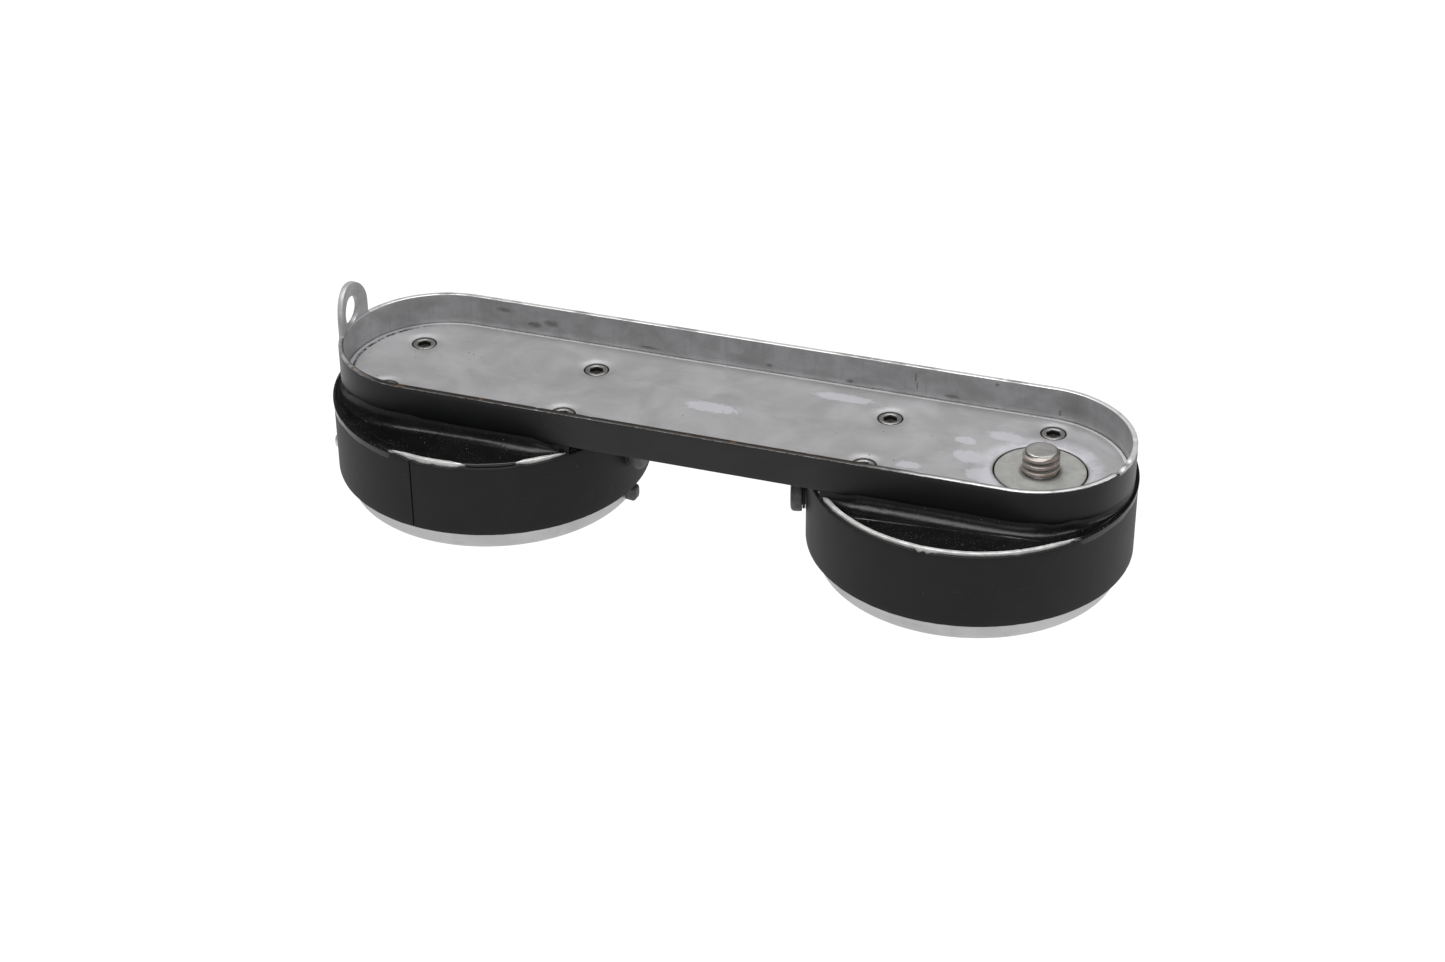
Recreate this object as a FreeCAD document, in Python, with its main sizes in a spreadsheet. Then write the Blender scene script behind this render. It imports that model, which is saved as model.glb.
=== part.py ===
import FreeCAD, Part
import math
import os
import Sketcher

# A long tray on two shallow round film chambers, every size in millimetres.
# X runs along the tray, the hanging lug at -X and the clamp stud at +X.
# Z is up and z = 0 is the underside of the two chamber lids.

os.makedirs("parts", exist_ok=True)
doc = FreeCAD.newDocument("two_chamber_tank")
V = FreeCAD.Vector

SIZES = [
    # tray
    ("tray_length", 140.0, "overall length of the tray band"),
    ("tray_end_radius", 17.36, "outer end radius, half the tray width"),
    ("band_wall", 0.9, "thickness of the tray band and lug"),
    ("band_bottom", 18.5, "height of the band's lower edge"),
    ("rim_height", 24.69, "height of the tray rim"),
    ("plate_thick", 0.6, "floor plate thickness"),
    ("plate_gap", 0.05, "gap between floor plate and band"),
    ("lug_half", 5.2, "half width and top radius of the lug"),
    ("lug_centre", 27.4, "height of the centre of the lug's round top"),
    ("lug_hole", 2.6, "radius of the hole in the lug"),
    ("lug_hole_height", 27.55, "height of the lug hole"),
    # chambers
    ("drum_x", 43.0, "distance of each chamber axis from the centre"),
    ("tube_radius", 26.85, "outer radius of the chamber tube"),
    ("tube_wall", 0.75, "wall of the chamber tube"),
    ("tube_bottom", 3.64, "lower edge of the chamber tube"),
    ("tube_top", 17.35, "upper edge of the chamber tube"),
    ("roof_bottom", 16.0, "underside of the chamber roof"),
    ("roof_top", 17.0, "top face of the chamber roof"),
    ("doubler_bottom", 15.2, "underside of the doubler disc"),
    ("doubler_radius", 21.2, "radius of the doubler disc"),
    ("wrap_radius", 27.44, "outer radius of the covering wrap"),
    ("wrap_top", 16.85, "upper edge of the covering wrap"),
    ("slip", 0.02, "seating clearance of fixed round parts"),
    ("saddle_angle", 38.6, "flare of the saddle under the tray"),
    ("saddle_reach", 27.3, "radius that bounds the saddle over the rim"),
    # plate screws
    ("screw_radius", 1.22, "plate screw shank radius"),
    ("screw_hole", 1.3, "clearance radius for plate screws"),
    ("screw_head", 2.15, "plate screw head radius"),
    ("screw_top", 19.0, "top face of the plate screw heads"),
    ("socket_radius", 1.155, "corner radius of the hex socket, 2.0 across flats"),
    ("socket_depth", 1.1, "depth of the hex socket"),
    ("screw_outer_x", 59.0, "outer left screw row"),
    ("screw_outer_y", 7.3, "outer left screw offset, far side"),
    ("screw_near_y", 8.8, "outer left screw offset, near side"),
    ("screw_inner_x", 26.6, "inner screw rows"),
    ("screw_inner_y", 8.0, "inner screw offset"),
    ("screw_stud_x", 53.9, "outer right screw row, beside the stud"),
    ("screw_stud_y", 11.8, "outer right screw offset"),
    # clamp stud
    ("stud_x", 54.7, "clamp stud position along the tray"),
    ("stud_y", -0.9, "clamp stud position across the tray"),
    ("stud_radius", 3.1, "clamp stud thread radius"),
    ("stud_top", 23.1, "top of the clamp stud"),
    ("stud_neck", 2.8, "radius of the plain neck between head and thread"),
    ("thread_start", 19.2, "lower end of the clamp stud thread"),
    ("stud_head", 4.9, "radius of the slotted head under the roof"),
    ("stud_head_top", 15.7, "upper face of the slotted head"),
    ("washer_radius", 7.6, "radius of the washer round the stud"),
    ("washer_bottom", 17.8, "underside of the washer"),
    # lids
    ("lid_radius", 25.39, "outer radius of the lid"),
    ("lid_floor", 1.2, "thickness of the lid's disc"),
    ("lid_skirt_in", 23.9, "inner radius of the lid skirt"),
    ("lid_skirt_top", 8.0, "top of the lid skirt"),
    ("groove_low", 5.2, "lower side of the gasket groove"),
    ("groove_high", 6.6, "upper side of the gasket groove"),
    ("groove_radius", 24.5, "floor of the gasket groove"),
    ("gasket_radius", 26.03, "outer radius of the gasket"),
    ("stop_bottom", 8.3, "underside of the stop ring"),
    ("stop_top", 8.8, "top of the stop ring"),
    ("stop_in", 24.6, "inner radius of the stop ring"),
    # reel and spindle
    ("spindle_radius", 3.0, "spindle radius"),
    ("spindle_end", 1.8, "lower end of the spindle"),
    ("reel_bore", 3.08, "bore of the reel hub"),
    ("hub_radius", 5.0, "outer radius of the reel hub"),
    ("reel_radius", 23.4, "outer radius of the reel flanges"),
    ("reel_bottom", 3.2, "underside of the lower flange"),
    ("reel_top", 14.6, "top of the upper flange"),
    ("flange_thick", 1.0, "flange thickness"),
    ("rib_height", 0.8, "height of the spiral rib"),
    ("rib_width", 0.6, "width of the spiral rib"),
    ("rib_pitch", 2.2, "pitch of the spiral rib"),
    ("rib_start", 7.2, "first radius of the spiral rib"),
    ("rib_turns", 7.0, "turns of the spiral rib"),
    # drain plugs
    ("drain_height", 11.0, "height of the drain axis"),
    ("drain_left_angle", -8.0, "direction of the left drain from its chamber axis"),
    ("drain_right_angle", 197.0, "direction of the right drain from its chamber axis"),
    ("stem_radius", 1.5, "drain plug stem radius"),
    ("bush_bore", 1.56, "bore of the drain bush and washer"),
    ("bush_radius", 2.15, "outer radius of the drain bush and washer"),
    ("bush_in", 25.3, "inner end of the drain bush"),
    ("bush_out", 27.5, "outer end of the drain bush"),
    ("stem_in", 24.9, "inner end of the plug stem"),
    ("knob_in", 28.05, "inner face of the plug knob"),
    ("knob_out", 30.05, "outer face of the plug knob"),
    ("knob_radius", 2.6, "radius of the plug knob"),
    # small trim
    ("rivet_radius", 1.1, "side rivet head radius"),
    ("rivet_out", 28.0, "outer face of the side rivet"),
    ("rivet_height", 7.0, "height of the side rivet"),
    ("tab_half", 1.2, "half width of the lid tab"),
    ("tab_out", 27.7, "outer end of the lid tab"),
]

sheet = doc.addObject("Spreadsheet::Sheet", "Sizes")
for row, (alias, value, note) in enumerate(SIZES, start=1):
    sheet.set("A%d" % row, alias)
    sheet.set("B%d" % row, "%g" % value)
    sheet.setAlias("B%d" % row, alias)
    sheet.set("C%d" % row, note)
doc.recompute()


class Qty:
    """A number together with the sheet expression that drives it."""

    def __init__(self, value, text):
        self.value = value
        self.text = text

    def __add__(self, other):
        other = qty(other)
        return Qty(self.value + other.value, "(%s + %s)" % (self.text, other.text))

    def __sub__(self, other):
        other = qty(other)
        return Qty(self.value - other.value, "(%s - %s)" % (self.text, other.text))

    def __mul__(self, other):
        other = qty(other)
        return Qty(self.value * other.value, "(%s * %s)" % (self.text, other.text))

    def __neg__(self):
        return Qty(-self.value, "(0 - %s)" % self.text)


def qty(thing):
    if isinstance(thing, Qty):
        return thing
    return Qty(float(thing), "(%.6f)" % float(thing))


class Sheet:
    pass


s = Sheet()
for alias, value, note in SIZES:
    setattr(s, alias, Qty(value, "Sizes." + alias))


def bind(obj, prop, amount):
    amount = qty(amount)
    setattr(obj, prop, amount.value)
    obj.setExpression(prop, amount.text)


def place(obj, x=0, y=0, z=0, rotation=None):
    x, y, z = qty(x), qty(y), qty(z)
    rotation = rotation or FreeCAD.Rotation()
    obj.Placement = FreeCAD.Placement(V(x.value, y.value, z.value), rotation)
    for axis, amount in (("x", x), ("y", y), ("z", z)):
        if "Sizes" in amount.text:
            obj.setExpression("Placement.Base." + axis, amount.text)
    return obj


def turn(axis, degrees):
    return FreeCAD.Rotation(axis, degrees)


def plane_of(body, role):
    return [f for f in body.Origin.OriginFeatures if f.Role == role][0]


def cylinder(name, radius, low, high, x=0, y=0, rotation=None):
    obj = doc.addObject("Part::Cylinder", name)
    low, high = qty(low), qty(high)
    bind(obj, "Radius", radius)
    bind(obj, "Height", high - low)
    return place(obj, x, y, low, rotation)


def cone(name, r_low, r_high, low, high, x=0, y=0):
    obj = doc.addObject("Part::Cone", name)
    low, high = qty(low), qty(high)
    bind(obj, "Radius1", r_low)
    bind(obj, "Radius2", r_high)
    bind(obj, "Height", high - low)
    return place(obj, x, y, low)


def box(name, x0, x1, y0, y1, z0, z1, rotation=None):
    obj = doc.addObject("Part::Box", name)
    bind(obj, "Length", qty(x1) - x0)
    bind(obj, "Width", qty(y1) - y0)
    bind(obj, "Height", qty(z1) - z0)
    return place(obj, x0, y0, z0, rotation)


def cut(name, base, tool):
    obj = doc.addObject("Part::Cut", name)
    obj.Base = base
    obj.Tool = tool
    return obj


def common(name, base, tool):
    obj = doc.addObject("Part::Common", name)
    obj.Base = base
    obj.Tool = tool
    return obj


def fuse(name, shapes):
    obj = doc.addObject("Part::MultiFuse", name)
    obj.Shapes = shapes
    return obj


def pin_point(sketch, geo, x, y, tag):
    """Tie the start point of one sketch line to the sketch origin."""
    x, y = qty(x), qty(y)
    if abs(x.value) < 1e-9:
        sketch.addConstraint(Sketcher.Constraint("PointOnObject", geo, 1, -2))
    else:
        index = sketch.addConstraint(Sketcher.Constraint("DistanceX", -1, 1, geo, 1, x.value))
        sketch.renameConstraint(index, "across%s" % tag)
        sketch.setExpression("Constraints.across%s" % tag, x.text)
    if abs(y.value) < 1e-9:
        sketch.addConstraint(Sketcher.Constraint("PointOnObject", geo, 1, -1))
    else:
        index = sketch.addConstraint(Sketcher.Constraint("DistanceY", -1, 1, geo, 1, y.value))
        sketch.renameConstraint(index, "along%s" % tag)
        sketch.setExpression("Constraints.along%s" % tag, y.text)


def turned(name, profile, x=0, y=0, z=0, rotation=None):
    """A PartDesign body turned about its own Z from (radius, height) points."""
    body = doc.addObject("PartDesign::Body", name)
    sketch = body.newObject("Sketcher::SketchObject", name + "_profile")
    sketch.AttachmentSupport = [(plane_of(body, "XZ_Plane"), "")]
    sketch.MapMode = "FlatFace"
    points = [(qty(r), qty(h)) for r, h in profile]
    count = len(points)
    for i in range(count):
        a, b = points[i], points[(i + 1) % count]
        sketch.addGeometry(Part.LineSegment(V(a[0].value, a[1].value, 0), V(b[0].value, b[1].value, 0)))
    for i in range(count):
        sketch.addConstraint(Sketcher.Constraint("Coincident", i, 2, (i + 1) % count, 1))
    for i, (r, h) in enumerate(points):
        pin_point(sketch, i, r, h, str(i))
    doc.recompute()
    spin = body.newObject("PartDesign::Revolution", name + "_turned")
    spin.Profile = sketch
    spin.ReferenceAxis = (sketch, ["V_Axis"])
    spin.Angle = 360.0
    body.Tip = spin
    place(body, x, y, z, rotation)
    return body


def stadium(sketch, length, radius, tag):
    """A stadium outline centred on the sketch origin, long axis along X."""
    length, radius = qty(length), qty(radius)
    half = length.value / 2 - radius.value
    r = radius.value
    first = sketch.GeometryCount
    sketch.addGeometry(Part.LineSegment(V(-half, -r, 0), V(half, -r, 0)))
    sketch.addGeometry(Part.ArcOfCircle(Part.Circle(V(half, 0, 0), V(0, 0, 1), r), -math.pi / 2, math.pi / 2))
    sketch.addGeometry(Part.LineSegment(V(half, r, 0), V(-half, r, 0)))
    sketch.addGeometry(Part.ArcOfCircle(Part.Circle(V(-half, 0, 0), V(0, 0, 1), r), math.pi / 2, 3 * math.pi / 2))
    a, b, c, d = first, first + 1, first + 2, first + 3
    con = Sketcher.Constraint
    for args in (("Tangent", a, 2, b, 1), ("Tangent", b, 2, c, 1), ("Tangent", c, 2, d, 1), ("Tangent", d, 2, a, 1)):
        sketch.addConstraint(con(*args))
    sketch.addConstraint(con("PointOnObject", b, 3, -1))
    sketch.addConstraint(con("Symmetric", b, 3, d, 3, -1, 1))
    index = sketch.addConstraint(con("Radius", b, r))
    sketch.renameConstraint(index, "end" + tag)
    sketch.setExpression("Constraints.end" + tag, radius.text)
    index = sketch.addConstraint(con("DistanceX", d, 3, b, 3, 2 * half))
    sketch.renameConstraint(index, "span" + tag)
    sketch.setExpression("Constraints.span" + tag, (length - radius * 2).text)


def padded(name, outlines, low, high, taper=None):
    """A PartDesign pad between two heights of one or two nested stadium outlines."""
    low, high = qty(low), qty(high)
    body = doc.addObject("PartDesign::Body", name)
    sketch = body.newObject("Sketcher::SketchObject", name + "_outline")
    sketch.AttachmentSupport = [(plane_of(body, "XY_Plane"), "")]
    sketch.MapMode = "FlatFace"
    for number, (length, radius) in enumerate(outlines):
        stadium(sketch, length, radius, str(number))
    doc.recompute()
    pad = body.newObject("PartDesign::Pad", name + "_pad")
    pad.Profile = sketch
    bind(pad, "Length", high - low)
    if taper is not None:
        bind(pad, "TaperAngle", taper)
    body.Tip = pad
    place(body, 0, 0, low)
    return body


nodes = []


def node(obj, label):
    obj.Label = label
    nodes.append(obj)
    return obj


# ---------------------------------------------------------------- tray
band_wall = padded("band_wall_body", [
    (s.tray_length, s.tray_end_radius),
    (s.tray_length - s.band_wall * 2, s.tray_end_radius - s.band_wall)], s.band_bottom, s.rim_height)
end_x = s.tray_length * 0.5 - s.tray_end_radius
lug_sleeve = cut("lug_sleeve",
                 cylinder("lug_sleeve_out", s.tray_end_radius, 20, 34, -end_x),
                 cylinder("lug_sleeve_in", s.tray_end_radius - s.band_wall, 19, 35, -end_x))
lug_leg = box("lug_leg", -72, -62, -s.lug_half, s.lug_half, 19.5, s.lug_centre)
lug_round = cylinder("lug_round", s.lug_half, 0, 10)
place(lug_round, -72, 0, s.lug_centre, turn(V(0, 1, 0), 90))
lug = common("lug_curved", lug_sleeve, fuse("lug_outline", [lug_leg, lug_round]))
lug_bore = cylinder("lug_bore", s.lug_hole, 0, 10)
place(lug_bore, -75, 0, s.lug_hole_height, turn(V(0, 1, 0), 90))
node(cut("tray_band_body", fuse("band_with_lug", [band_wall, lug]), lug_bore), "tray_band")

# Plate screws: four per chamber through plate, saddle, roof and doubler.
left_spots = [(-s.screw_outer_x, s.screw_outer_y), (-s.screw_outer_x, -s.screw_near_y),
              (-s.screw_inner_x, s.screw_inner_y), (-s.screw_inner_x, -s.screw_inner_y)]
right_spots = [(s.screw_inner_x, s.screw_inner_y), (s.screw_inner_x, -s.screw_inner_y),
               (s.screw_stud_x, s.screw_stud_y), (s.screw_stud_x, -s.screw_stud_y)]
screw_drills = {}
for side, spots in (("left", left_spots), ("right", right_spots)):
    drills, screws = [], []
    for number, (x, y) in enumerate(spots, start=1):
        tag = "%s_%d" % (side, number)
        drills.append(cylinder("drill_" + tag, s.screw_hole, 15.0, 19.5, x, y))
        drills.append(cone("sink_" + tag, s.screw_hole, s.screw_hole + 1.15,
                           s.screw_top - 0.95, s.screw_top + 0.2, x, y))
        blank = turned("screw_blank_" + tag, [
            (0, 0), (s.screw_radius, 0),
            (s.screw_radius, s.screw_top - s.doubler_bottom - (s.screw_head - s.screw_radius)),
            (s.screw_head, s.screw_top - s.doubler_bottom),
            (0, s.screw_top - s.doubler_bottom)], x, y, s.doubler_bottom)
        key = doc.addObject("Part::Prism", "socket_" + tag)
        key.Polygon = 6
        bind(key, "Circumradius", s.socket_radius)
        bind(key, "Height", s.socket_depth + 0.5)
        place(key, x, y, s.screw_top - s.socket_depth, turn(V(0, 0, 1), 17.0 * number))
        screws.append(cut("screw_" + tag, blank, key))
    screw_drills[side] = fuse("screw_drills_" + side, drills)
    group = doc.addObject("Part::Compound", "plate_screws_%s_body" % side)
    group.Links = screws
    node(group, "plate_screws_" + side)

plate_blank = padded("plate_blank", [
    (s.tray_length - s.band_wall * 2 - s.plate_gap * 2, s.tray_end_radius - s.band_wall - s.plate_gap)],
    s.band_bottom, s.band_bottom + s.plate_thick)
washer_well = cylinder("washer_well", s.washer_radius + 0.3, s.band_bottom - 1.0, 20, s.stud_x, s.stud_y)
node(cut("floor_plate_body", plate_blank, fuse("plate_cutters", [
    screw_drills["left"], screw_drills["right"], washer_well])), "floor_plate")

# ---------------------------------------------------------------- chambers
for side, sign in (("left", -1), ("right", 1)):
    cx = s.drum_x * sign
    angle = s.drain_left_angle if side == "left" else s.drain_right_angle
    outward = FreeCAD.Rotation(V(0, 0, 1), angle.value).multiply(FreeCAD.Rotation(V(0, 1, 0), 90))

    def radial(name, radius, near, far):
        """A cylinder lying along the drain direction, from near to far off the chamber axis."""
        near, far = qty(near), qty(far)
        rod = doc.addObject("Part::Cylinder", name)
        bind(rod, "Radius", radius)
        bind(rod, "Height", far - near)
        a = math.radians(angle.value)
        text = angle.text
        rod.Placement = FreeCAD.Placement(
            V(cx.value + near.value * math.cos(a), near.value * math.sin(a), s.drain_height.value), outward)
        rod.setExpression("Placement.Base.x", "%s + %s * cos(%s * 1deg)" % (cx.text, near.text, text))
        rod.setExpression("Placement.Base.y", "%s * sin(%s * 1deg)" % (near.text, text))
        rod.setExpression("Placement.Base.z", s.drain_height.text)
        return rod

    drain_drill = radial("drain_drill_" + side, s.bush_radius + s.slip, 24.0, 28.5)

    # Tube, wrap and the disc roof let into the tube.
    tube = turned("tube_blank_" + side, [
        (s.tube_radius - s.tube_wall, s.tube_bottom), (s.tube_radius, s.tube_bottom),
        (s.tube_radius, s.tube_top), (s.tube_radius - s.tube_wall, s.tube_top)], cx)
    node(cut("chamber_tube_%s_body" % side, tube, drain_drill), "chamber_tube_" + side)
    wrap = turned("wrap_blank_" + side, [
        (s.tube_radius + s.slip, s.tube_bottom), (s.wrap_radius, s.tube_bottom),
        (s.wrap_radius, s.wrap_top), (s.tube_radius + s.slip, s.wrap_top)], cx)
    node(cut("chamber_wrap_%s_body" % side, wrap, drain_drill), "chamber_wrap_" + side)

    roof = turned("roof_blank_" + side, [
        (0, s.roof_bottom), (s.tube_radius - s.tube_wall - s.slip, s.roof_bottom),
        (s.tube_radius - s.tube_wall - s.slip, s.roof_top), (0, s.roof_top)], cx)
    doubler = turned("doubler_blank_" + side, [
        (0, s.doubler_bottom), (s.doubler_radius, s.doubler_bottom),
        (s.doubler_radius, s.roof_bottom), (0, s.roof_bottom)], cx)
    if side == "right":
        roof_tool = fuse("roof_cutters", [screw_drills[side],
                         cylinder("seal_seat", s.stud_neck + 1.15, 15.5, 17.5, s.stud_x, s.stud_y)])
        doubler_tool = fuse("doubler_cutters", [screw_drills[side],
                            cylinder("head_seat", s.stud_head + 0.35, 15.0, 16.5, s.stud_x, s.stud_y)])
    else:
        roof_tool = screw_drills[side]
        doubler_tool = screw_drills[side]
    node(cut("chamber_roof_%s_body" % side, roof, roof_tool), "chamber_roof_" + side)
    node(cut("roof_doubler_%s_body" % side, doubler, doubler_tool), "roof_doubler_" + side)

    # Saddle: flared pad that carries the tray, bounded by the chamber circle.
    pad = padded("saddle_pad_" + side, [
        (s.tray_length + 2.4, s.tray_end_radius + 1.2)], s.roof_top, s.band_bottom, -s.saddle_angle)
    bound = fuse("saddle_bound_" + side, [
        cylinder("saddle_low_" + side, s.tube_radius - s.tube_wall - 0.05, s.roof_top - 0.5, s.tube_top + 0.1, cx),
        cylinder("saddle_high_" + side, s.saddle_reach, s.tube_top + 0.02, 19.5, cx)])
    saddle = common("saddle_blank_" + side, pad, bound)
    if side == "right":
        saddle_tool = fuse("saddle_cutters", [
            screw_drills[side],
            cylinder("saddle_well", s.washer_radius + 0.3, s.washer_bottom - 0.3, 19.5, s.stud_x, s.stud_y),
            cylinder("saddle_bore", s.stud_radius + 0.2, 16.5, 18.0, s.stud_x, s.stud_y)])
    else:
        saddle_tool = screw_drills[side]
    node(cut("saddle_%s_body" % side, saddle, saddle_tool), "saddle_" + side)

    # Lid: shallow cup with a gasket groove, pushed up into the tube.
    node(turned("lid_%s_body" % side, [
        (0, 0), (s.lid_radius - 0.3, 0), (s.lid_radius, 0.3), (s.lid_radius, s.groove_low),
        (s.groove_radius, s.groove_low), (s.groove_radius, s.groove_high),
        (s.lid_radius, s.groove_high), (s.lid_radius, s.lid_skirt_top - 0.3),
        (s.lid_radius - 0.3, s.lid_skirt_top), (s.lid_skirt_in, s.lid_skirt_top),
        (s.lid_skirt_in, s.lid_floor), (0, s.lid_floor)], cx), "lid_" + side)
    node(turned("lid_gasket_%s_body" % side, [
        (s.groove_radius + 0.03, s.groove_low + 0.1), (s.gasket_radius - 0.4, s.groove_low + 0.1),
        (s.gasket_radius, s.groove_low + 0.5), (s.gasket_radius, s.groove_high - 0.5),
        (s.gasket_radius - 0.4, s.groove_high - 0.1), (s.groove_radius + 0.03, s.groove_high - 0.1)],
        cx), "lid_gasket_" + side)
    node(turned("lid_stop_ring_%s_body" % side, [
        (s.stop_in, s.stop_bottom), (s.tube_radius - s.tube_wall - s.slip, s.stop_bottom),
        (s.tube_radius - s.tube_wall - s.slip, s.stop_top), (s.stop_in, s.stop_top)],
        cx), "lid_stop_ring_" + side)

    # Lid tab: a small block fixed to the lid's edge, below the tube.
    tab_angle = -5.0 if side == "left" else 60.0
    tab_box = doc.addObject("Part::Box", "tab_block_" + side)
    bind(tab_box, "Length", s.tab_out - s.lid_radius + 1.5)
    bind(tab_box, "Width", s.tab_half * 2)
    bind(tab_box, "Height", 2.7)
    spin = FreeCAD.Rotation(V(0, 0, 1), tab_angle)
    corner = spin.multVec(V(s.lid_radius.value - 1.5, -s.tab_half.value, 0.6))
    tab_box.Placement = FreeCAD.Placement(V(cx.value + corner.x, corner.y, corner.z), spin)
    node(cut("lid_tab_%s_body" % side, tab_box,
             cylinder("tab_relief_" + side, s.lid_radius + s.slip, -1, 5, cx)), "lid_tab_" + side)

    # Side rivet.
    rivet_angle = 202.0 if side == "left" else 22.0
    a = math.radians(rivet_angle)
    rivet = cylinder("rivet_head_" + side, s.rivet_radius, 0, s.rivet_out - s.tube_radius)
    rivet.Placement = FreeCAD.Placement(
        V(cx.value + s.tube_radius.value * math.cos(a), s.tube_radius.value * math.sin(a), s.rivet_height.value),
        FreeCAD.Rotation(V(0, 0, 1), rivet_angle).multiply(FreeCAD.Rotation(V(0, 1, 0), 90)))
    node(cut("side_rivet_%s_body" % side, rivet,
             cylinder("rivet_relief_" + side, s.wrap_radius + s.slip, 3, 12, cx)), "side_rivet_" + side)

    # Spindle with its clip.
    node(turned("spindle_%s_body" % side, [
        (0, s.spindle_end), (s.spindle_radius - 0.4, s.spindle_end), (s.spindle_radius, s.spindle_end + 0.3),
        (s.spindle_radius, 2.4), (s.spindle_radius - 0.5, 2.4), (s.spindle_radius - 0.5, 3.0),
        (s.spindle_radius, 3.0), (s.spindle_radius, s.doubler_bottom - 0.3), (5.0, s.doubler_bottom - 0.3),
        (5.0, s.doubler_bottom), (0, s.doubler_bottom)], cx), "spindle_" + side)
    ring = turned("clip_ring_" + side, [
        (s.spindle_radius - 0.45, 2.45), (4.6, 2.45), (4.6, 2.9), (s.spindle_radius - 0.45, 2.9)], cx)
    node(cut("spindle_clip_%s_body" % side, ring,
             box("clip_mouth_" + side, cx, cx + 6, -1.6, 1.6, 2, 3.5)), "spindle_clip_" + side)

    # Reel: hub and two flanges, each flange with a spiral rib on its inner face.
    node(turned("reel_hub_%s_body" % side, [
        (s.reel_bore, s.reel_bottom), (s.hub_radius, s.reel_bottom),
        (s.hub_radius, s.reel_top), (s.reel_bore, s.reel_top)], cx), "reel_hub_" + side)
    holes = [cylinder("flow_%s_%d" % (side, k), 2.1, 2, 16,
                      cx + 14.3 * math.cos(math.radians(60 * k + 30)), 14.3 * math.sin(math.radians(60 * k + 30)))
             for k in range(6)]
    for level in ("lower", "upper"):
        if level == "lower":
            low, high = s.reel_bottom, s.reel_bottom + s.flange_thick
            rib_low = high
        else:
            low, high = s.reel_top - s.flange_thick, s.reel_top
            rib_low = low - s.rib_height
        flange = turned("flange_%s_%s" % (level, side), [
            (s.hub_radius + s.slip, low), (s.reel_radius, low), (s.reel_radius, high),
            (s.hub_radius + s.slip, high)], cx)
        # The spiral: half rings of growing radius whose centres alternate by half a pitch.
        halves = []
        for k in range(int(s.rib_turns.value)):
            for half, (centre, grow, start) in enumerate(((0.0, 0.0, 0.0), (0.5, 0.5, 180.0))):
                radius = s.rib_start.value + (k + grow) * s.rib_pitch.value
                base = V(cx.value + centre * s.rib_pitch.value, 0, rib_low.value)
                depth = s.rib_height.value + 0.05
                if level == "lower":
                    base.z = rib_low.value - 0.05
                outer = Part.makeCylinder(radius + s.rib_width.value / 2, depth, base, V(0, 0, 1), 180)
                inner = Part.makeCylinder(radius - s.rib_width.value / 2, depth, base, V(0, 0, 1), 180)
                ring = outer.cut(inner)
                ring.rotate(base, V(0, 0, 1), start)
                halves.append(ring)
        rib = doc.addObject("Part::Feature", "rib_%s_%s" % (level, side))
        rib.Shape = halves[0].multiFuse(halves[1:])
        node(cut("reel_flange_%s_%s_body" % (level, side),
                 fuse("ribbed_%s_%s" % (level, side), [flange, rib]),
                 fuse("flow_%s_%s" % (level, side), holes)), "reel_flange_%s_%s" % (level, side))

    # Drain: bush fixed in the tube wall, washer and push-fit plug outside it.
    node(cut("drain_bush_%s_body" % side,
             radial("bush_blank_" + side, s.bush_radius, s.bush_in, s.bush_out),
             radial("bush_bore_" + side, s.bush_bore, s.bush_in - 1, s.bush_out + 1)), "drain_bush_" + side)
    node(cut("drain_washer_%s_body" % side,
             radial("washer_blank_" + side, s.bush_radius, s.bush_out + 0.06, s.knob_in - 0.04),
             radial("washer_bore_" + side, s.bush_bore, s.bush_out - 1, s.knob_in + 1)), "drain_washer_" + side)
    node(fuse("drain_plug_%s_body" % side, [
        radial("stem_" + side, s.stem_radius, s.stem_in, s.knob_in + 0.5),
        radial("knob_" + side, s.knob_radius, s.knob_in, s.knob_out)]), "drain_plug_" + side)

# ---------------------------------------------------------------- clamp stud
stud = turned("stud_blank", [
    (0, s.doubler_bottom), (s.stud_head, s.doubler_bottom), (s.stud_head, s.stud_head_top),
    (s.stud_neck, s.stud_head_top), (s.stud_neck, s.thread_start),
    (s.stud_radius, s.thread_start), (s.stud_radius, s.stud_top - 0.4),
    (s.stud_radius - 0.5, s.stud_top), (0, s.stud_top)], s.stud_x, s.stud_y)
slot = box("stud_slot", s.stud_x - 6, s.stud_x + 6, s.stud_y - 0.6, s.stud_y + 0.6, 14.8, s.doubler_bottom + 0.35)
node(cut("clamp_stud_body", stud, slot), "clamp_stud")
node(turned("clamp_washer_body", [
    (s.stud_neck + s.slip, s.washer_bottom), (s.washer_radius, s.washer_bottom),
    (s.washer_radius, s.band_bottom + s.plate_thick - 0.2),
    (s.washer_radius - 0.2, s.band_bottom + s.plate_thick),
    (s.stud_neck + s.slip, s.band_bottom + s.plate_thick)], s.stud_x, s.stud_y), "clamp_washer")
seal = doc.addObject("Part::Torus", "clamp_seal_body")
bind(seal, "Radius1", s.stud_neck + 0.6)
bind(seal, "Radius2", 0.48)
place(seal, s.stud_x, s.stud_y, 16.5)
node(seal, "clamp_seal")

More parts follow.
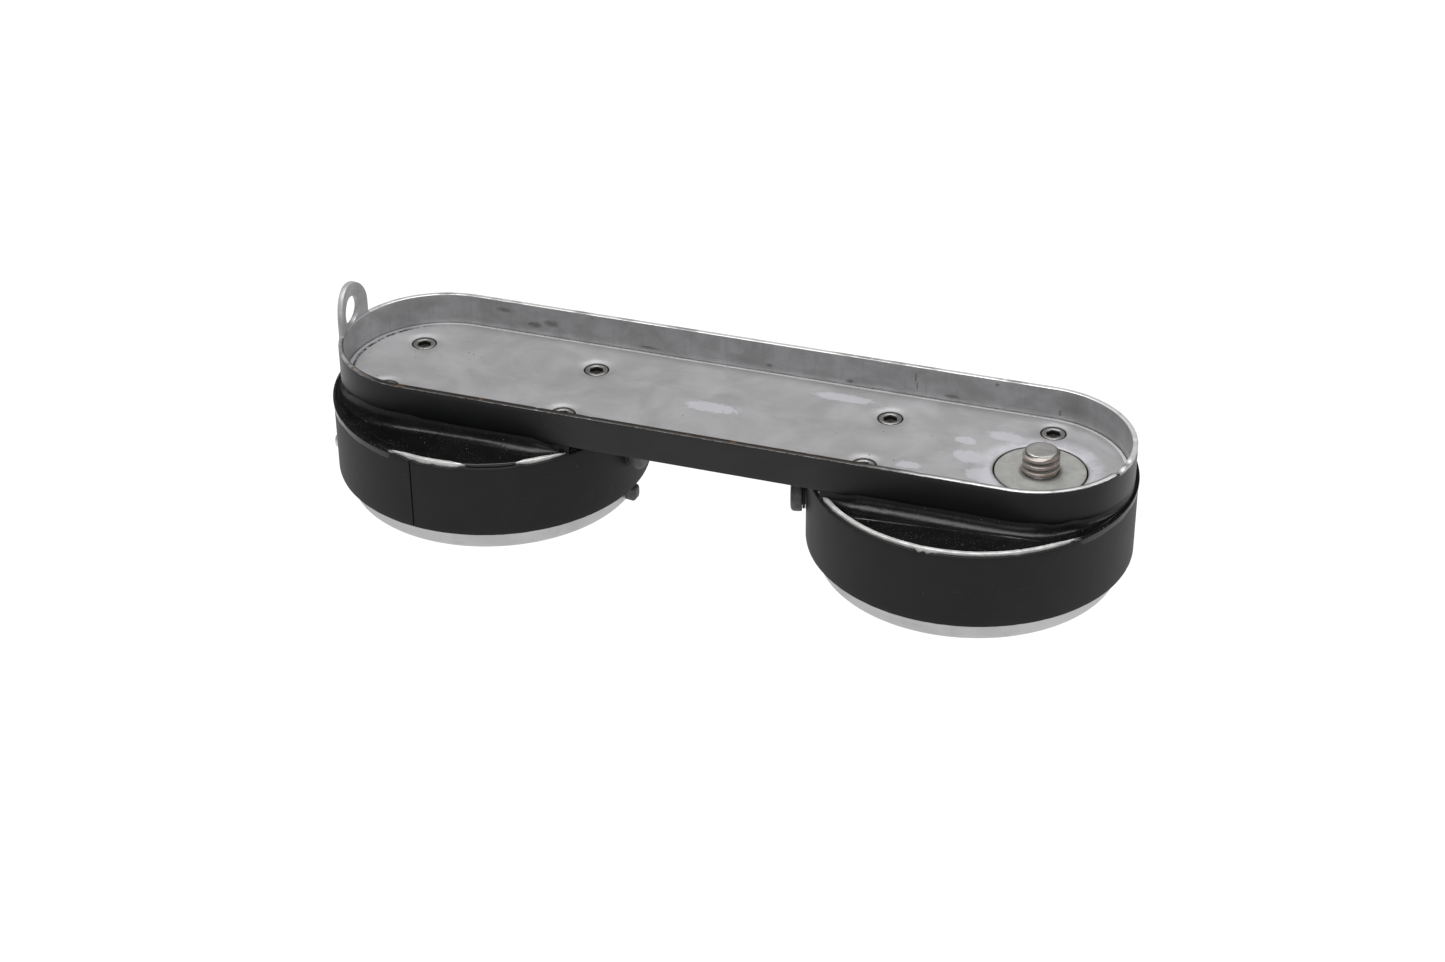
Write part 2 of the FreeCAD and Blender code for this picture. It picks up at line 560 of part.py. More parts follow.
# ---------------------------------------------------------------- checks and export
doc.recompute()
bad = []
for obj in doc.Objects:
    if "Invalid" in obj.State or "Error" in obj.State:
        bad.append("%s %s" % (obj.Name, obj.State))
for obj in nodes:
    if obj.Shape.isNull() or not obj.Shape.isValid() or not obj.Shape.Solids:
        bad.append("%s shape" % obj.Label)
if bad:
    raise RuntimeError("failed objects: " + "; ".join(bad))
for obj in nodes:
    obj.Shape.exportStep("parts/%s.step" % obj.Label)
    b = obj.Shape.BoundBox
    print("%-26s solids %d  vol %9.2f  x %7.2f %7.2f  y %7.2f %7.2f  z %6.2f %6.2f" % (
        obj.Label, len(obj.Shape.Solids), obj.Shape.Volume, b.XMin, b.XMax, b.YMin, b.YMax, b.ZMin, b.ZMax))
print("nodes", len(nodes))
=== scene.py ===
import bpy
import bmesh
import math
import numpy as np
from mathutils import Vector, Matrix, noise
from mathutils.geometry import delaunay_2d_cdt


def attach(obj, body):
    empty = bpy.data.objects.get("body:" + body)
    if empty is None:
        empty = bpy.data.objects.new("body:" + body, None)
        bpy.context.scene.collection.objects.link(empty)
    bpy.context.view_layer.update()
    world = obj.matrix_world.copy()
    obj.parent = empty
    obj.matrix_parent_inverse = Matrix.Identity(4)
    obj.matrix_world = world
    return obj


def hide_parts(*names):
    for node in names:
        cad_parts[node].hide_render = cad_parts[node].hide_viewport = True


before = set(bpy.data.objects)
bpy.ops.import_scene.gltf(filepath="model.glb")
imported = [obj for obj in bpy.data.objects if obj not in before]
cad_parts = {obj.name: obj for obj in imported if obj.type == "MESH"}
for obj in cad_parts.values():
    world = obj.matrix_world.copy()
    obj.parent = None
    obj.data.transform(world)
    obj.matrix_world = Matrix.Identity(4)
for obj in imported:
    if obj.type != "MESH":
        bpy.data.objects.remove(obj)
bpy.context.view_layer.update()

MM = 0.001
scene = bpy.context.scene

# ------------------------------------------------------------------ sizes, millimetres
HALF_L, R_END, WALL = 70.0, 17.36, 0.9
END_X = HALF_L - R_END
BAND_LOW, RIM = 18.5, 24.69
FLOOR = 19.1
DRUM_X = 43.0
R_TUBE, TUBE_WALL, R_WRAP, R_LID = 26.85, 0.75, 27.44, 25.39
TUBE_LOW, TUBE_TOP, ROOF, WRAP_TOP = 3.64, 17.35, 17.0, 17.08
STUD = (54.7, -0.9)
SCREWS = {
    "left": [(-59.0, 7.3), (-59.0, -8.8), (-26.6, 8.0), (-26.6, -8.0)],
    "right": [(26.6, 8.0), (26.6, -8.0), (53.9, 11.8), (53.9, -11.8)],
}


def n3(x, y, z, seed=0.0):
    return noise.noise(Vector((x + seed * 13.7, y - seed * 7.3, z + seed * 3.1)))


def smooth(t):
    t = min(1.0, max(0.0, t))
    return t * t * (3 - 2 * t)


# ------------------------------------------------------------------ node helper
class Graph:
    """Short calls for building one material's nodes; positions are in object space, in millimetres."""

    def __init__(self, name):
        self.mat = bpy.data.materials.new(name)
        self.mat.use_nodes = True
        self.nt = self.mat.node_tree
        self.nt.nodes.clear()
        self.out = self.nt.nodes.new("ShaderNodeOutputMaterial")
        self.bsdf = self.nt.nodes.new("ShaderNodeBsdfPrincipled")
        self.nt.links.new(self.bsdf.outputs[0], self.out.inputs[0])
        tc = self.nt.nodes.new("ShaderNodeTexCoord")
        self.p = self.vmath("MULTIPLY", tc.outputs["Object"], (1000, 1000, 1000))
        s = self.nt.nodes.new("ShaderNodeSeparateXYZ")
        self.nt.links.new(self.p, s.inputs[0])
        self.x, self.y, self.z = s.outputs

    def put(self, socket, value):
        if isinstance(value, bpy.types.NodeSocket):
            self.nt.links.new(value, socket)
        else:
            if hasattr(socket.default_value, "__len__") and not hasattr(value, "__len__"):
                value = (value, value, value)
            if hasattr(socket.default_value, "__len__") and len(socket.default_value) == 4 and len(value) == 3:
                value = (*value, 1.0)
            socket.default_value = value

    def math(self, op, a, b=None, c=None, clamp=False):
        n = self.nt.nodes.new("ShaderNodeMath")
        n.operation = op
        n.use_clamp = clamp
        for i, v in enumerate((a, b, c)):
            if v is not None:
                self.put(n.inputs[i], v)
        return n.outputs[0]

    def vmath(self, op, a, b=None):
        n = self.nt.nodes.new("ShaderNodeVectorMath")
        n.operation = op
        self.put(n.inputs[0], a)
        if b is not None:
            self.put(n.inputs[1], b)
        return n.outputs["Value"] if op in ("LENGTH", "DISTANCE", "DOT_PRODUCT") else n.outputs[0]

    def vec(self, x, y, z):
        n = self.nt.nodes.new("ShaderNodeCombineXYZ")
        for i, v in enumerate((x, y, z)):
            self.put(n.inputs[i], v)
        return n.outputs[0]

    def noise(self, vec=None, scale=1.0, detail=3.0, rough=0.55, distort=0.0, seed=0.0):
        n = self.nt.nodes.new("ShaderNodeTexNoise")
        v = vec if vec is not None else self.p
        if seed:
            v = self.vmath("ADD", v, (seed * 31.7, seed * 17.3, seed * 5.9))
        self.nt.links.new(v, n.inputs["Vector"])
        n.inputs["Scale"].default_value = scale
        n.inputs["Detail"].default_value = detail
        n.inputs["Roughness"].default_value = rough
        n.inputs["Distortion"].default_value = distort
        return n.outputs["Fac"]

    def cells(self, vec=None, scale=1.0, seed=0.0):
        n = self.nt.nodes.new("ShaderNodeTexVoronoi")
        v = vec if vec is not None else self.p
        if seed:
            v = self.vmath("ADD", v, (seed * 31.7, seed * 17.3, seed * 5.9))
        self.nt.links.new(v, n.inputs["Vector"])
        n.inputs["Scale"].default_value = scale
        return n.outputs["Distance"]

    def span(self, v, a, b, lo=0.0, hi=1.0, smooth=True):
        n = self.nt.nodes.new("ShaderNodeMapRange")
        n.interpolation_type = "SMOOTHSTEP" if smooth else "LINEAR"
        n.clamp = True if not smooth else n.clamp
        self.put(n.inputs["Value"], v)
        for k, val in (("From Min", a), ("From Max", b), ("To Min", lo), ("To Max", hi)):
            self.put(n.inputs[k], val)
        return n.outputs["Result"]

    def mix(self, fac, a, b):
        n = self.nt.nodes.new("ShaderNodeMix")
        n.data_type = "RGBA"
        self.put(n.inputs[0], fac)
        self.put(n.inputs[6], a)
        self.put(n.inputs[7], b)
        return n.outputs[2]

    def mixf(self, fac, a, b):
        n = self.nt.nodes.new("ShaderNodeMix")
        n.data_type = "FLOAT"
        self.put(n.inputs[0], fac)
        self.put(n.inputs[2], a)
        self.put(n.inputs[3], b)
        return n.outputs[0]

    def add(self, *v):
        out = v[0]
        for w in v[1:]:
            out = self.math("ADD", out, w)
        return out

    def mul(self, *v):
        out = v[0]
        for w in v[1:]:
            out = self.math("MULTIPLY", out, w)
        return out

    def over(self, *v):
        out = v[0]
        for w in v[1:]:
            out = self.math("MAXIMUM", out, w)
        return out

    def inv(self, v):
        return self.math("SUBTRACT", 1.0, v)

    def bump(self, height, distance=0.02, strength=1.0):
        """distance is the bump's real depth in millimetres."""
        n = self.nt.nodes.new("ShaderNodeBump")
        n.inputs["Strength"].default_value = strength
        n.inputs["Distance"].default_value = distance * MM
        self.nt.links.new(height, n.inputs["Height"])
        self.nt.links.new(n.outputs[0], self.bsdf.inputs["Normal"])

    def set(self, **kw):
        names = {"color": "Base Color", "metal": "Metallic", "rough": "Roughness", "spec": "Specular IOR Level",
                 "coat": "Coat Weight", "coat_rough": "Coat Roughness", "aniso": "Anisotropic",
                 "sss": "Subsurface Weight", "sss_scale": "Subsurface Scale", "sheen": "Sheen Weight"}
        for k, v in kw.items():
            self.put(self.bsdf.inputs[names[k]], v)
        return self.mat

    # geometry-aware distances
    def stadium(self):
        """Distance from the tray's centre line."""
        dx = self.math("MAXIMUM", self.math("SUBTRACT", self.math("ABSOLUTE", self.x), END_X), 0.0)
        return self.math("SQRT", self.add(self.mul(dx, dx), self.mul(self.y, self.y)))

    def polar(self, cx=None, cy=0.0):
        """Radius and angle about a vertical axis; with no cx, about the nearer chamber axis."""
        if cx is None:
            dx = self.math("SUBTRACT", self.math("ABSOLUTE", self.x), DRUM_X)
            dx = self.mul(dx, self.math("SIGN", self.x))
        else:
            dx = self.math("SUBTRACT", self.x, cx)
        dy = self.math("SUBTRACT", self.y, cy)
        r = self.math("SQRT", self.add(self.mul(dx, dx), self.mul(dy, dy)))
        return r, self.math("ARCTAN2", dy, dx)

    def spot(self, cx, cy, cz, rx, ry, rz):
        """A soft spot, 1 at the centre and 0 at its edge."""
        d = self.vmath("DIVIDE", self.vmath("SUBTRACT", self.p, (cx, cy, cz)), (rx, ry, rz))
        return self.span(self.vmath("LENGTH", d), 0.0, 1.0, 1.0, 0.0)


MAT = {}


def make_materials():
    # Tray floor: satin sheet, faintly brushed along X, lighter in a ring round the stud; painted highlight along the
    # far edge and painted shade round the screw holes and the stud well.
    g = Graph("floor_plate_metal")
    brushed = g.noise(g.vmath("MULTIPLY", g.p, (0.22, 5.0, 1.0)), 1.0, 4, 0.6)
    cloud = g.noise(None, 0.11, 5, 0.6, 0.6)
    fine = g.noise(None, 4.5, 3, 0.7)
    base = g.mix(g.span(cloud, 0.3, 0.72), (0.362, 0.360, 0.366), (0.462, 0.458, 0.467))
    base = g.mix(g.mul(g.span(brushed, 0.35, 0.75), 0.35), base, (0.49, 0.49, 0.495))
    r, a = g.polar(*STUD)
    halo = g.mul(g.span(r, 7.7, 8.6), g.span(r, 11.6, 8.8), g.span(g.noise(None, 0.5, 4, 0.6, 0, 3), 0.30, 0.62, 0.5, 1.0))
    base = g.mix(g.mul(halo, 0.9), base, (0.66, 0.66, 0.70))
    smears = None
    for k, (cx, cy, rx, ry) in enumerate(((42.3, -0.2, 3.4, 2.6), (46.6, 7.9, 4.0, 1.9), (45.4, -5.2, 3.0, 2.6),
                                          (40.6, 4.6, 2.3, 1.6), (47.2, -6.6, 2.6, 1.8), (17.4, 11.8, 7.5, 1.7),
                                          (-3.0, 1.6, 6.5, 2.2), (33.5, -6.0, 3.0, 1.4), (61.0, 5.5, 1.5, 2.6))):
        s = g.spot(cx, cy, FLOOR, rx * 1.3, ry * 1.3, 3)
        smears = s if smears is None else g.over(smears, s)
    smears = g.mul(g.span(g.add(smears, g.mul(g.math("SUBTRACT", g.noise(None, 0.9, 4, 0.65, 1.0, 5), 0.5), 1.3)), 0.32, 0.52), 0.7)
    base = g.mix(smears, base, (0.55, 0.55, 0.585))
    dist = g.stadium()
    border = g.span(dist, 15.95, 16.25)
    # painted highlight: a near-white line along the floor's far edge, fading out towards the near side
    bead = g.mul(g.span(dist, 15.62, 15.80), g.span(g.y, -9.0, -2.0))
    bead_n = g.noise(None, 1.3, 5, 0.75, 0, 7)
    base = g.mix(g.mul(bead, g.span(bead_n, 0.33, 0.46, 0.25, 1.0)), base, (0.86, 0.86, 0.86))
    base = g.mix(g.mul(border, g.span(bead_n, 0.56, 0.64), 0.8), base, (0.10, 0.095, 0.085))
    # dirt lying in the corner at the lug end and a few specks
    gap = g.add(dist, g.mul(g.math("SUBTRACT", g.noise(None, 1.4, 5, 0.8, 0, 9), 0.5), 0.9))
    lug_end = g.mul(g.span(g.x, -58.0, -64.0), g.span(g.y, -8.0, -4.0))
    corner = g.mul(g.span(gap, 15.0, 15.12), g.span(gap, 15.62, 15.5), lug_end, g.span(g.noise(None, 0.7, 4, 0.7, 0, 19), 0.38, 0.52))
    base = g.mix(g.mul(g.span(dist, 15.55, 15.65), lug_end, 0.8), base, (0.47, 0.465, 0.50))
    specks = g.mul(g.span(g.cells(None, 0.55, 11), 0.11, 0.07), g.span(g.noise(None, 0.35, 2, 0.5, 0, 13), 0.55, 0.62))
    # painted shade: a dark ring round each screw hole
    screw_gap_shade = None
    for side in SCREWS:
        for sx, sy in SCREWS[side]:
            rr, _ = g.polar(sx, sy)
            ring = g.span(rr, 2.45, 2.05)
            screw_gap_shade = ring if screw_gap_shade is None else g.over(screw_gap_shade, ring)
    # painted shade: a dark ring at the edge of the stud well
    stud_well_shade = g.span(r, 8.1, 7.75)
    # real dirt in the corner and specks, plus the painted shade rings, darken the floor
    dirt_and_painted_shade = g.over(g.mul(corner, 0.95), g.mul(specks, 0.6), g.mul(screw_gap_shade, 0.9), g.mul(stud_well_shade, g.span(cloud, 0.35, 0.6, 0.35, 0.85)))
    base = g.mix(dirt_and_painted_shade, base, (0.035, 0.032, 0.028))
    g.bump(g.add(g.mul(brushed, 0.5), g.mul(fine, 0.35), g.mul(cloud, 2.0)), 0.016)
    MAT["floor"] = g.set(color=base, metal=0.62, rough=g.add(g.mul(cloud, 0.12), g.mul(smears, 0.12), g.mul(dirt_and_painted_shade, 0.3), 0.44), spec=0.5)

    # Tray band: black outside, bare inside, rubbed through at the rim; the rim carries a painted highlight and the
    # black carries painted shade.
    g = Graph("tray_band_paint")
    dist = g.stadium()
    edge = g.noise(None, 0.9, 5, 0.72, 0.0, 1)
    nick = g.noise(None, 0.28, 4, 0.6, 0.0, 4)
    worn_z = g.add(g.span(g.y, -6.0, 2.0, 24.52, 24.34), g.mul(g.math("SUBTRACT", edge, 0.5), 0.35), g.mul(g.math("MINIMUM", g.math("SUBTRACT", 0.42, nick), 0.0), -0.0))
    paint = g.mul(g.span(dist, 16.95, 17.12), g.span(g.math("SUBTRACT", g.z, worn_z), 0.04, -0.04))
    rimwear = g.mul(g.span(g.math("SUBTRACT", g.z, worn_z), -0.16, -0.02), g.span(g.noise(None, 0.55, 4, 0.7, 0, 6), 0.50, 0.62))
    inner_cloud = g.noise(g.vmath("MULTIPLY", g.p, (1, 1, 1.4)), 0.22, 5, 0.62, 0.5, 2)
    streak = g.noise(g.vmath("MULTIPLY", g.p, (1.3, 1.3, 0.12)), 1.0, 4, 0.65, 0, 8)
    metal = g.mix(g.span(inner_cloud, 0.3, 0.7), (0.37, 0.37, 0.375), (0.49, 0.49, 0.50))
    metal = g.mix(g.mul(g.span(streak, 0.5, 0.75), 0.35), metal, (0.27, 0.265, 0.26))
    stains = None
    for (cx, cz, rx, rz) in ((-47.2, 22.9, 3.6, 1.1), (-41.5, 20.9, 3.4, 1.3), (-38.4, 21.6, 3.0, 1.6), (2.4, 20.4, 1.6, 0.8),
                             (17.0, 19.8, 1.6, 0.9), (28.6, 22.5, 0.45, 2.3), (28.9, 21.0, 0.4, 2.0), (42.8, 23.7, 0.8, 0.7),
                             (53.9, 20.2, 0.5, 1.3), (-30.5, 24.1, 0.45, 0.4), (-20.0, 20.0, 4.0, 0.7), (35.0, 20.0, 3.0, 0.8), (8.0, 23.6, 0.35, 0.35)):
        s = g.spot(cx, 16.46, cz, rx, 2.5, rz)
        stains = s if stains is None else g.over(stains, s)
    st_n = g.noise(None, 2.6, 5, 0.8, 0.4, 10)
    stains = g.span(g.add(stains, g.mul(g.math("SUBTRACT", st_n, 0.5), 1.7)), 0.42, 0.95)
    stains = g.mul(stains, g.span(g.y, 10.0, 14.0))
    metal = g.mix(g.mul(stains, 0.60), metal, (0.13, 0.125, 0.115))
    top = g.span(g.z, RIM - 0.13, RIM - 0.08)
    low_lug = g.span(g.z, RIM + 0.25, RIM + 0.05)
    # rim top: bare metal where the paint is rubbed through, painted near-white as a painted highlight along the far rim
    # and the near right rim, dark elsewhere
    rim_bare_and_painted_highlight = g.mixf(g.span(g.y, -6.0, -1.0), g.over(g.span(g.x, 26.0, 50.0, 0.0, 0.9), g.span(g.x, -56.0, -63.0, 0.0, 0.6)), 0.9)
    rim_bare_and_painted_highlight = g.mul(rim_bare_and_painted_highlight, g.span(g.noise(None, 0.16, 3, 0.5, 0.3, 18), 0.34, 0.50, 0.45, 1.0))
    thin = g.over(g.span(dist, 16.72, 16.92), g.span(g.y, -6.0, -1.0))
    metal = g.mix(g.mul(top, low_lug), metal, g.mix(g.mul(rim_bare_and_painted_highlight, g.add(g.mul(thin, 0.7), 0.3)), (0.045, 0.040, 0.036), (0.86, 0.86, 0.86)))
    brown = g.mul(top, low_lug, g.span(g.noise(None, 0.33, 4, 0.6, 0, 12), 0.58, 0.66), g.span(g.y, -8.0, -14.0), g.span(g.x, 30.0, 10.0))
    metal = g.mix(g.mul(brown, 0.75), metal, (0.16, 0.085, 0.045))
    # scraped patch at the stud end
    scrape = g.mul(g.span(g.x, 66.6, 68.4), g.span(g.add(g.math("ABSOLUTE", g.add(g.y, 3.2)), g.mul(edge, 3.0)), 5.2, 4.2),
                   g.span(g.add(g.z, g.mul(edge, 1.6)), 24.5, 25.1))
    paint = g.mul(paint, g.inv(scrape))
    pn = g.noise(None, 5.0, 3, 0.6, 0, 14)
    pc = g.noise(None, 0.12, 4, 0.6, 0.4, 15)
    black = g.mix(g.span(pc, 0.3, 0.7), (0.0088, 0.0088, 0.0092), (0.0145, 0.0145, 0.015))
    scuff = g.mul(g.span(g.noise(g.vmath("MULTIPLY", g.p, (0.5, 0.5, 5.0)), 1.0, 5, 0.7, 0.3, 16), 0.60, 0.72), 0.35)
    black = g.mix(scuff, black, (0.034, 0.033, 0.032))
    # darker, glossier black over the chamber zones and low on the wall: partly a real lacquer coat, partly painted
    # shade; weaker towards the ends as a painted reflection
    lacquer_and_painted_shade = g.mul(g.span(g.add(g.math("ABSOLUTE", g.x), g.mul(edge, 6.0)), 22.0, 34.0), g.span(g.math("ABSOLUTE", g.x), 69.6, 66.0, 0.35, 1.0), g.span(g.z, 24.6, 23.4, 0.55, 1.0))
    black = g.mix(g.mul(lacquer_and_painted_shade, 0.85), black, (0.0035, 0.0035, 0.0038))
    lip = g.mul(g.span(paint, 0.02, 0.5), g.span(paint, 0.98, 0.5))
    base = g.mix(paint, metal, black)
    base = g.mix(g.mul(lip, g.span(edge, 0.5, 0.7)), base, (0.17, 0.085, 0.045))
    g.bump(g.add(g.mul(paint, 1.3), g.mul(pn, 0.22), g.mul(edge, 0.25), g.mul(pc, 1.2)), 0.03)
    lugz = g.span(g.z, RIM + 0.1, RIM + 1.2)
    MAT["band"] = g.set(color=base, metal=g.mul(g.inv(paint), g.mixf(lugz, 0.7, 0.25)),
                        rough=g.mixf(paint, g.add(g.mul(inner_cloud, 0.2), g.mul(stains, 0.2), 0.34), g.add(g.mul(pc, 0.10), g.mul(pn, 0.05), g.mul(lacquer_and_painted_shade, -0.06), 0.33)), spec=g.mixf(lacquer_and_painted_shade, 0.33, 0.24))

    # Glossy black lacquer on the chamber tops and the saddles.
    g = Graph("gloss_lacquer")
    wave = g.noise(None, 0.16, 4, 0.55, 0.7, 1)
    fine = g.noise(None, 2.2, 3, 0.6, 0, 2)
    dust = g.mul(g.span(g.cells(None, 1.15, 3), 0.12, 0.07), g.span(g.noise(None, 0.22, 3, 0.6, 0, 4), 0.50, 0.60))
    tiny = g.mul(g.span(g.cells(None, 3.1, 5), 0.16, 0.09), g.span(g.noise(None, 0.22, 3, 0.6, 0, 6), 0.42, 0.56))
    dust = g.over(dust, g.mul(tiny, 0.8))
    r, a = g.polar()
    end = g.mul(g.span(g.x, -69.3, -69.8), g.span(g.y, 9.0, 5.0))
    chip = g.mul(end, g.span(g.noise(None, 0.9, 5, 0.75, 0, 8), 0.44, 0.52), g.span(r, 27.1, 27.4))
    base = g.mix(g.span(wave, 0.3, 0.7), (0.0035, 0.0035, 0.0038), (0.0065, 0.0065, 0.0070))
    base = g.mix(g.mul(dust, 0.8), base, (0.20, 0.19, 0.175))
    base = g.mix(chip, base, (0.12, 0.07, 0.04))
    g.bump(g.add(g.mul(wave, 3.2), g.mul(fine, 0.30), g.mul(dust, 0.6), g.mul(chip, -1.0)), 0.05)
    wall = g.span(g.stadium(), 20.2, 17.4)
    MAT["gloss"] = g.set(color=base, metal=0.0, rough=g.add(g.mul(wave, 0.14), g.mul(dust, 0.35), g.mul(chip, 0.3), g.mul(wall, 0.10), 0.13), spec=g.mixf(wall, 0.45, 0.24))

    # Chamber tube: bare bright edge where the black has gone.
    for side, sign in (("left", -1), ("right", 1)):
        g = Graph("chamber_tube_metal_" + side)
        r, a = g.polar(DRUM_X * sign)
        ragged = g.noise(None, 1.3, 5, 0.75, 0, 1)
        coarse = g.noise(None, 0.35, 4, 0.6, 0, 2)
        deg = g.mul(a, 57.2958)
        if side == "right":
            wide = g.mul(g.span(deg, -147.0, -134.0), g.span(deg, -35.0, -48.0), g.span(deg, -128.0, -90.0, 1.0, 0.78))
        else:
            one = g.mul(g.span(deg, -108.5, -97.0), g.span(deg, -75.0, -86.0))
            two = g.mul(g.span(deg, -60.0, -54.0), g.span(deg, -38.0, -50.0), 0.85)
            wide = g.over(one, two)
        across = g.add(g.mul(g.math("SUBTRACT", 26.90, r), 1.15), g.mul(g.math("SUBTRACT", ragged, 0.5), 0.55))
        bare = g.mul(g.span(g.math("SUBTRACT", across, wide), 0.05, -0.05), g.span(wide, 0.02, 0.10))
        inside = g.span(r, 26.14, 26.11)
        bare = g.over(bare, inside, g.span(g.z, 4.2, 4.0))
        cloud = g.noise(g.vmath("MULTIPLY", g.p, (1, 1, 3)), 0.6, 4, 0.6, 0, 3)
        metal = g.mix(g.span(cloud, 0.3, 0.7), (0.50, 0.50, 0.49), (0.74, 0.74, 0.73))
        metal = g.mix(g.mul(g.span(ragged, 0.58, 0.7), 0.5), metal, (0.20, 0.17, 0.14))
        black = (0.006, 0.006, 0.0065)
        g.bump(g.add(g.mul(bare, -1.0), g.mul(coarse, 0.5), g.mul(ragged, 0.3)), 0.04)
        MAT["tube_" + side] = g.set(color=g.mix(bare, black, metal), metal=g.mul(bare, 0.3),
                                    rough=g.mixf(bare, 0.24, g.add(g.mul(cloud, 0.2), 0.30)), spec=0.5)

    # Covering wrap: matte black with fine grain, a few scuffs.
    g = Graph("wrap_covering")
    grain = g.noise(None, 7.0, 3, 0.7, 0, 1)
    broad = g.noise(None, 0.10, 4, 0.55, 0.6, 2)
    r, a = g.polar()
    around = g.vec(g.mul(g.math("COSINE", a), 9.0), g.mul(g.math("SINE", a), 9.0), g.mul(g.z, 1.6))
    scr = g.mul(g.span(g.noise(around, 0.9, 6, 0.75, 1.4, 3), 0.655, 0.70), g.span(g.noise(None, 0.15, 2, 0.5, 0, 4), 0.46, 0.60))
    nicks = g.mul(g.span(g.cells(None, 0.42, 5), 0.075, 0.045), g.span(g.noise(None, 0.1, 2, 0.5, 0, 6), 0.5, 0.58))
    base = g.mix(g.span(broad, 0.3, 0.7), (0.0088, 0.0088, 0.0092), (0.0128, 0.0128, 0.0132))
    base = g.mix(g.mul(g.span(grain, 0.4, 0.7), 0.25), base, (0.026, 0.026, 0.026))
    base = g.mix(g.mul(g.over(scr, nicks), 0.55), base, (0.07, 0.069, 0.067))
    topedge = g.mul(g.span(g.z, 16.35, 16.8), g.span(g.noise(None, 1.0, 4, 0.7, 0, 7), 0.45, 0.62))
    base = g.mix(g.mul(topedge, 0.4), base, (0.010, 0.010, 0.010))
    g.bump(g.add(g.mul(grain, 0.5), g.mul(broad, 4.0), g.mul(scr, -0.5)), 0.02)
    MAT["wrap"] = g.set(color=base, metal=0.0, rough=g.add(g.mul(broad, 0.12), g.mul(grain, 0.08), 0.42), spec=0.20)

    # Lids: satin turned metal.
    g = Graph("lid_satin_metal")
    r, a = g.polar()
    lathe = g.noise(g.vec(g.mul(r, 9.0), g.mul(a, 0.6), g.mul(g.z, 9.0)), 1.0, 3, 0.65, 0, 1)
    hair = g.noise(g.vec(g.mul(r, 2.0), g.mul(a, 1.6), g.mul(g.z, 2.5)), 1.0, 5, 0.7, 0, 2)
    cloud = g.noise(None, 0.14, 5, 0.6, 0.5, 3)
    scratch = g.mul(g.span(g.noise(g.vmath("MULTIPLY", g.p, (0.7, 0.12, 0.7)), 1.6, 6, 0.75, 1.5, 4), 0.64, 0.69), 0.5)
    pits = g.mul(g.span(g.cells(None, 0.9, 5), 0.09, 0.05), g.span(g.noise(None, 0.2, 2, 0.5, 0, 6), 0.45, 0.6))
    base = g.mix(g.span(cloud, 0.3, 0.7), (0.50, 0.50, 0.50), (0.60, 0.60, 0.605))
    base = g.mix(g.mul(g.span(hair, 0.4, 0.7), 0.4), base, (0.66, 0.66, 0.66))
    base = g.mix(scratch, base, (0.78, 0.78, 0.78))
    base = g.mix(g.mul(pits, 0.5), base, (0.16, 0.15, 0.14))
    # painted shade: a dark band just under the chamber tube's lower edge
    under_tube_shade = g.mul(g.span(g.z, 3.05, 3.5), g.span(g.z, 5.3, 4.7), g.span(g.noise(None, 0.8, 4, 0.6, 0, 7), 0.35, 0.65))
    base = g.mix(g.mul(under_tube_shade, 0.55), base, (0.14, 0.135, 0.13))
    g.bump(g.add(g.mul(lathe, 0.7), g.mul(hair, 0.4), g.mul(pits, -0.6)), 0.014)
    MAT["lid"] = g.set(color=base, metal=0.6, rough=g.add(g.mul(cloud, 0.16), g.mul(lathe, 0.08), 0.36), spec=0.5)

    # Plate screws: dull steel with rusty sockets, painted darker with depth as painted shade.
    g = Graph("screw_steel")
    rust = g.noise(None, 1.8, 5, 0.7, 0.4, 1)
    fine = g.noise(None, 6.0, 3, 0.7, 0, 2)
    # painted shade: the socket darkens with depth
    depth = g.span(g.z, FLOOR - 0.30, FLOOR - 0.62)
    base = g.mix(g.span(rust, 0.35, 0.65), (0.22, 0.22, 0.216), (0.32, 0.32, 0.312))
    base = g.mix(g.mul(g.span(rust, 0.52, 0.66), 0.5), base, (0.09, 0.06, 0.04))
    base = g.mix(depth, base, (0.014, 0.011, 0.009))
    g.bump(g.add(g.mul(fine, 0.5), rust), 0.03)
    MAT["screw"] = g.set(color=base, metal=g.mixf(depth, 0.8, 0.3), rough=g.add(g.mul(rust, 0.25), g.mul(depth, 0.2), 0.28), spec=0.5)

    # Clamp stud: worn thread with coppery crests.
    g = Graph("stud_steel")
    r, a = g.polar(*STUD)
    n1 = g.noise(None, 1.2, 5, 0.7, 0.5, 1)
    n2 = g.noise(g.vec(g.mul(a, 2.5), r, g.mul(g.z, 9.0)), 1.0, 4, 0.7, 0, 2)
    base = g.mix(g.span(n1, 0.3, 0.7), (0.50, 0.48, 0.46), (0.66, 0.64, 0.62))
    crest = g.span(r, 2.86, 3.03)
    base = g.mix(g.mul(crest, g.span(n1, 0.36, 0.6), 0.6), base, (0.42, 0.25, 0.17))
    base = g.mix(g.mul(g.span(r, 2.72, 2.48), g.span(g.z, 22.75, 22.6), 0.75), base, (0.10, 0.075, 0.06))
    base = g.mix(g.mul(g.span(r, 2.47, 2.55), g.span(g.z, 22.5, 22.62), 0.8), base, (0.19, 0.165, 0.15))
    base = g.mix(g.mul(g.span(g.z, 22.98, 23.04), g.span(r, 2.46, 2.42), 0.6), base, (0.36, 0.355, 0.35))
    base = g.mix(g.mul(g.span(n2, 0.6, 0.72), 0.35), base, (0.78, 0.76, 0.74))
    turning = g.noise(g.vec(g.mul(r, 7.0), g.mul(a, 0.4), g.z), 1.0, 3, 0.6, 0, 3)
    g.bump(g.add(g.mul(n1, 0.6), g.mul(n2, 0.4), g.mul(turning, 0.6)), 0.03)
    MAT["stud"] = g.set(color=base, metal=0.85, rough=g.add(g.mul(n1, 0.22), 0.34), spec=0.5)

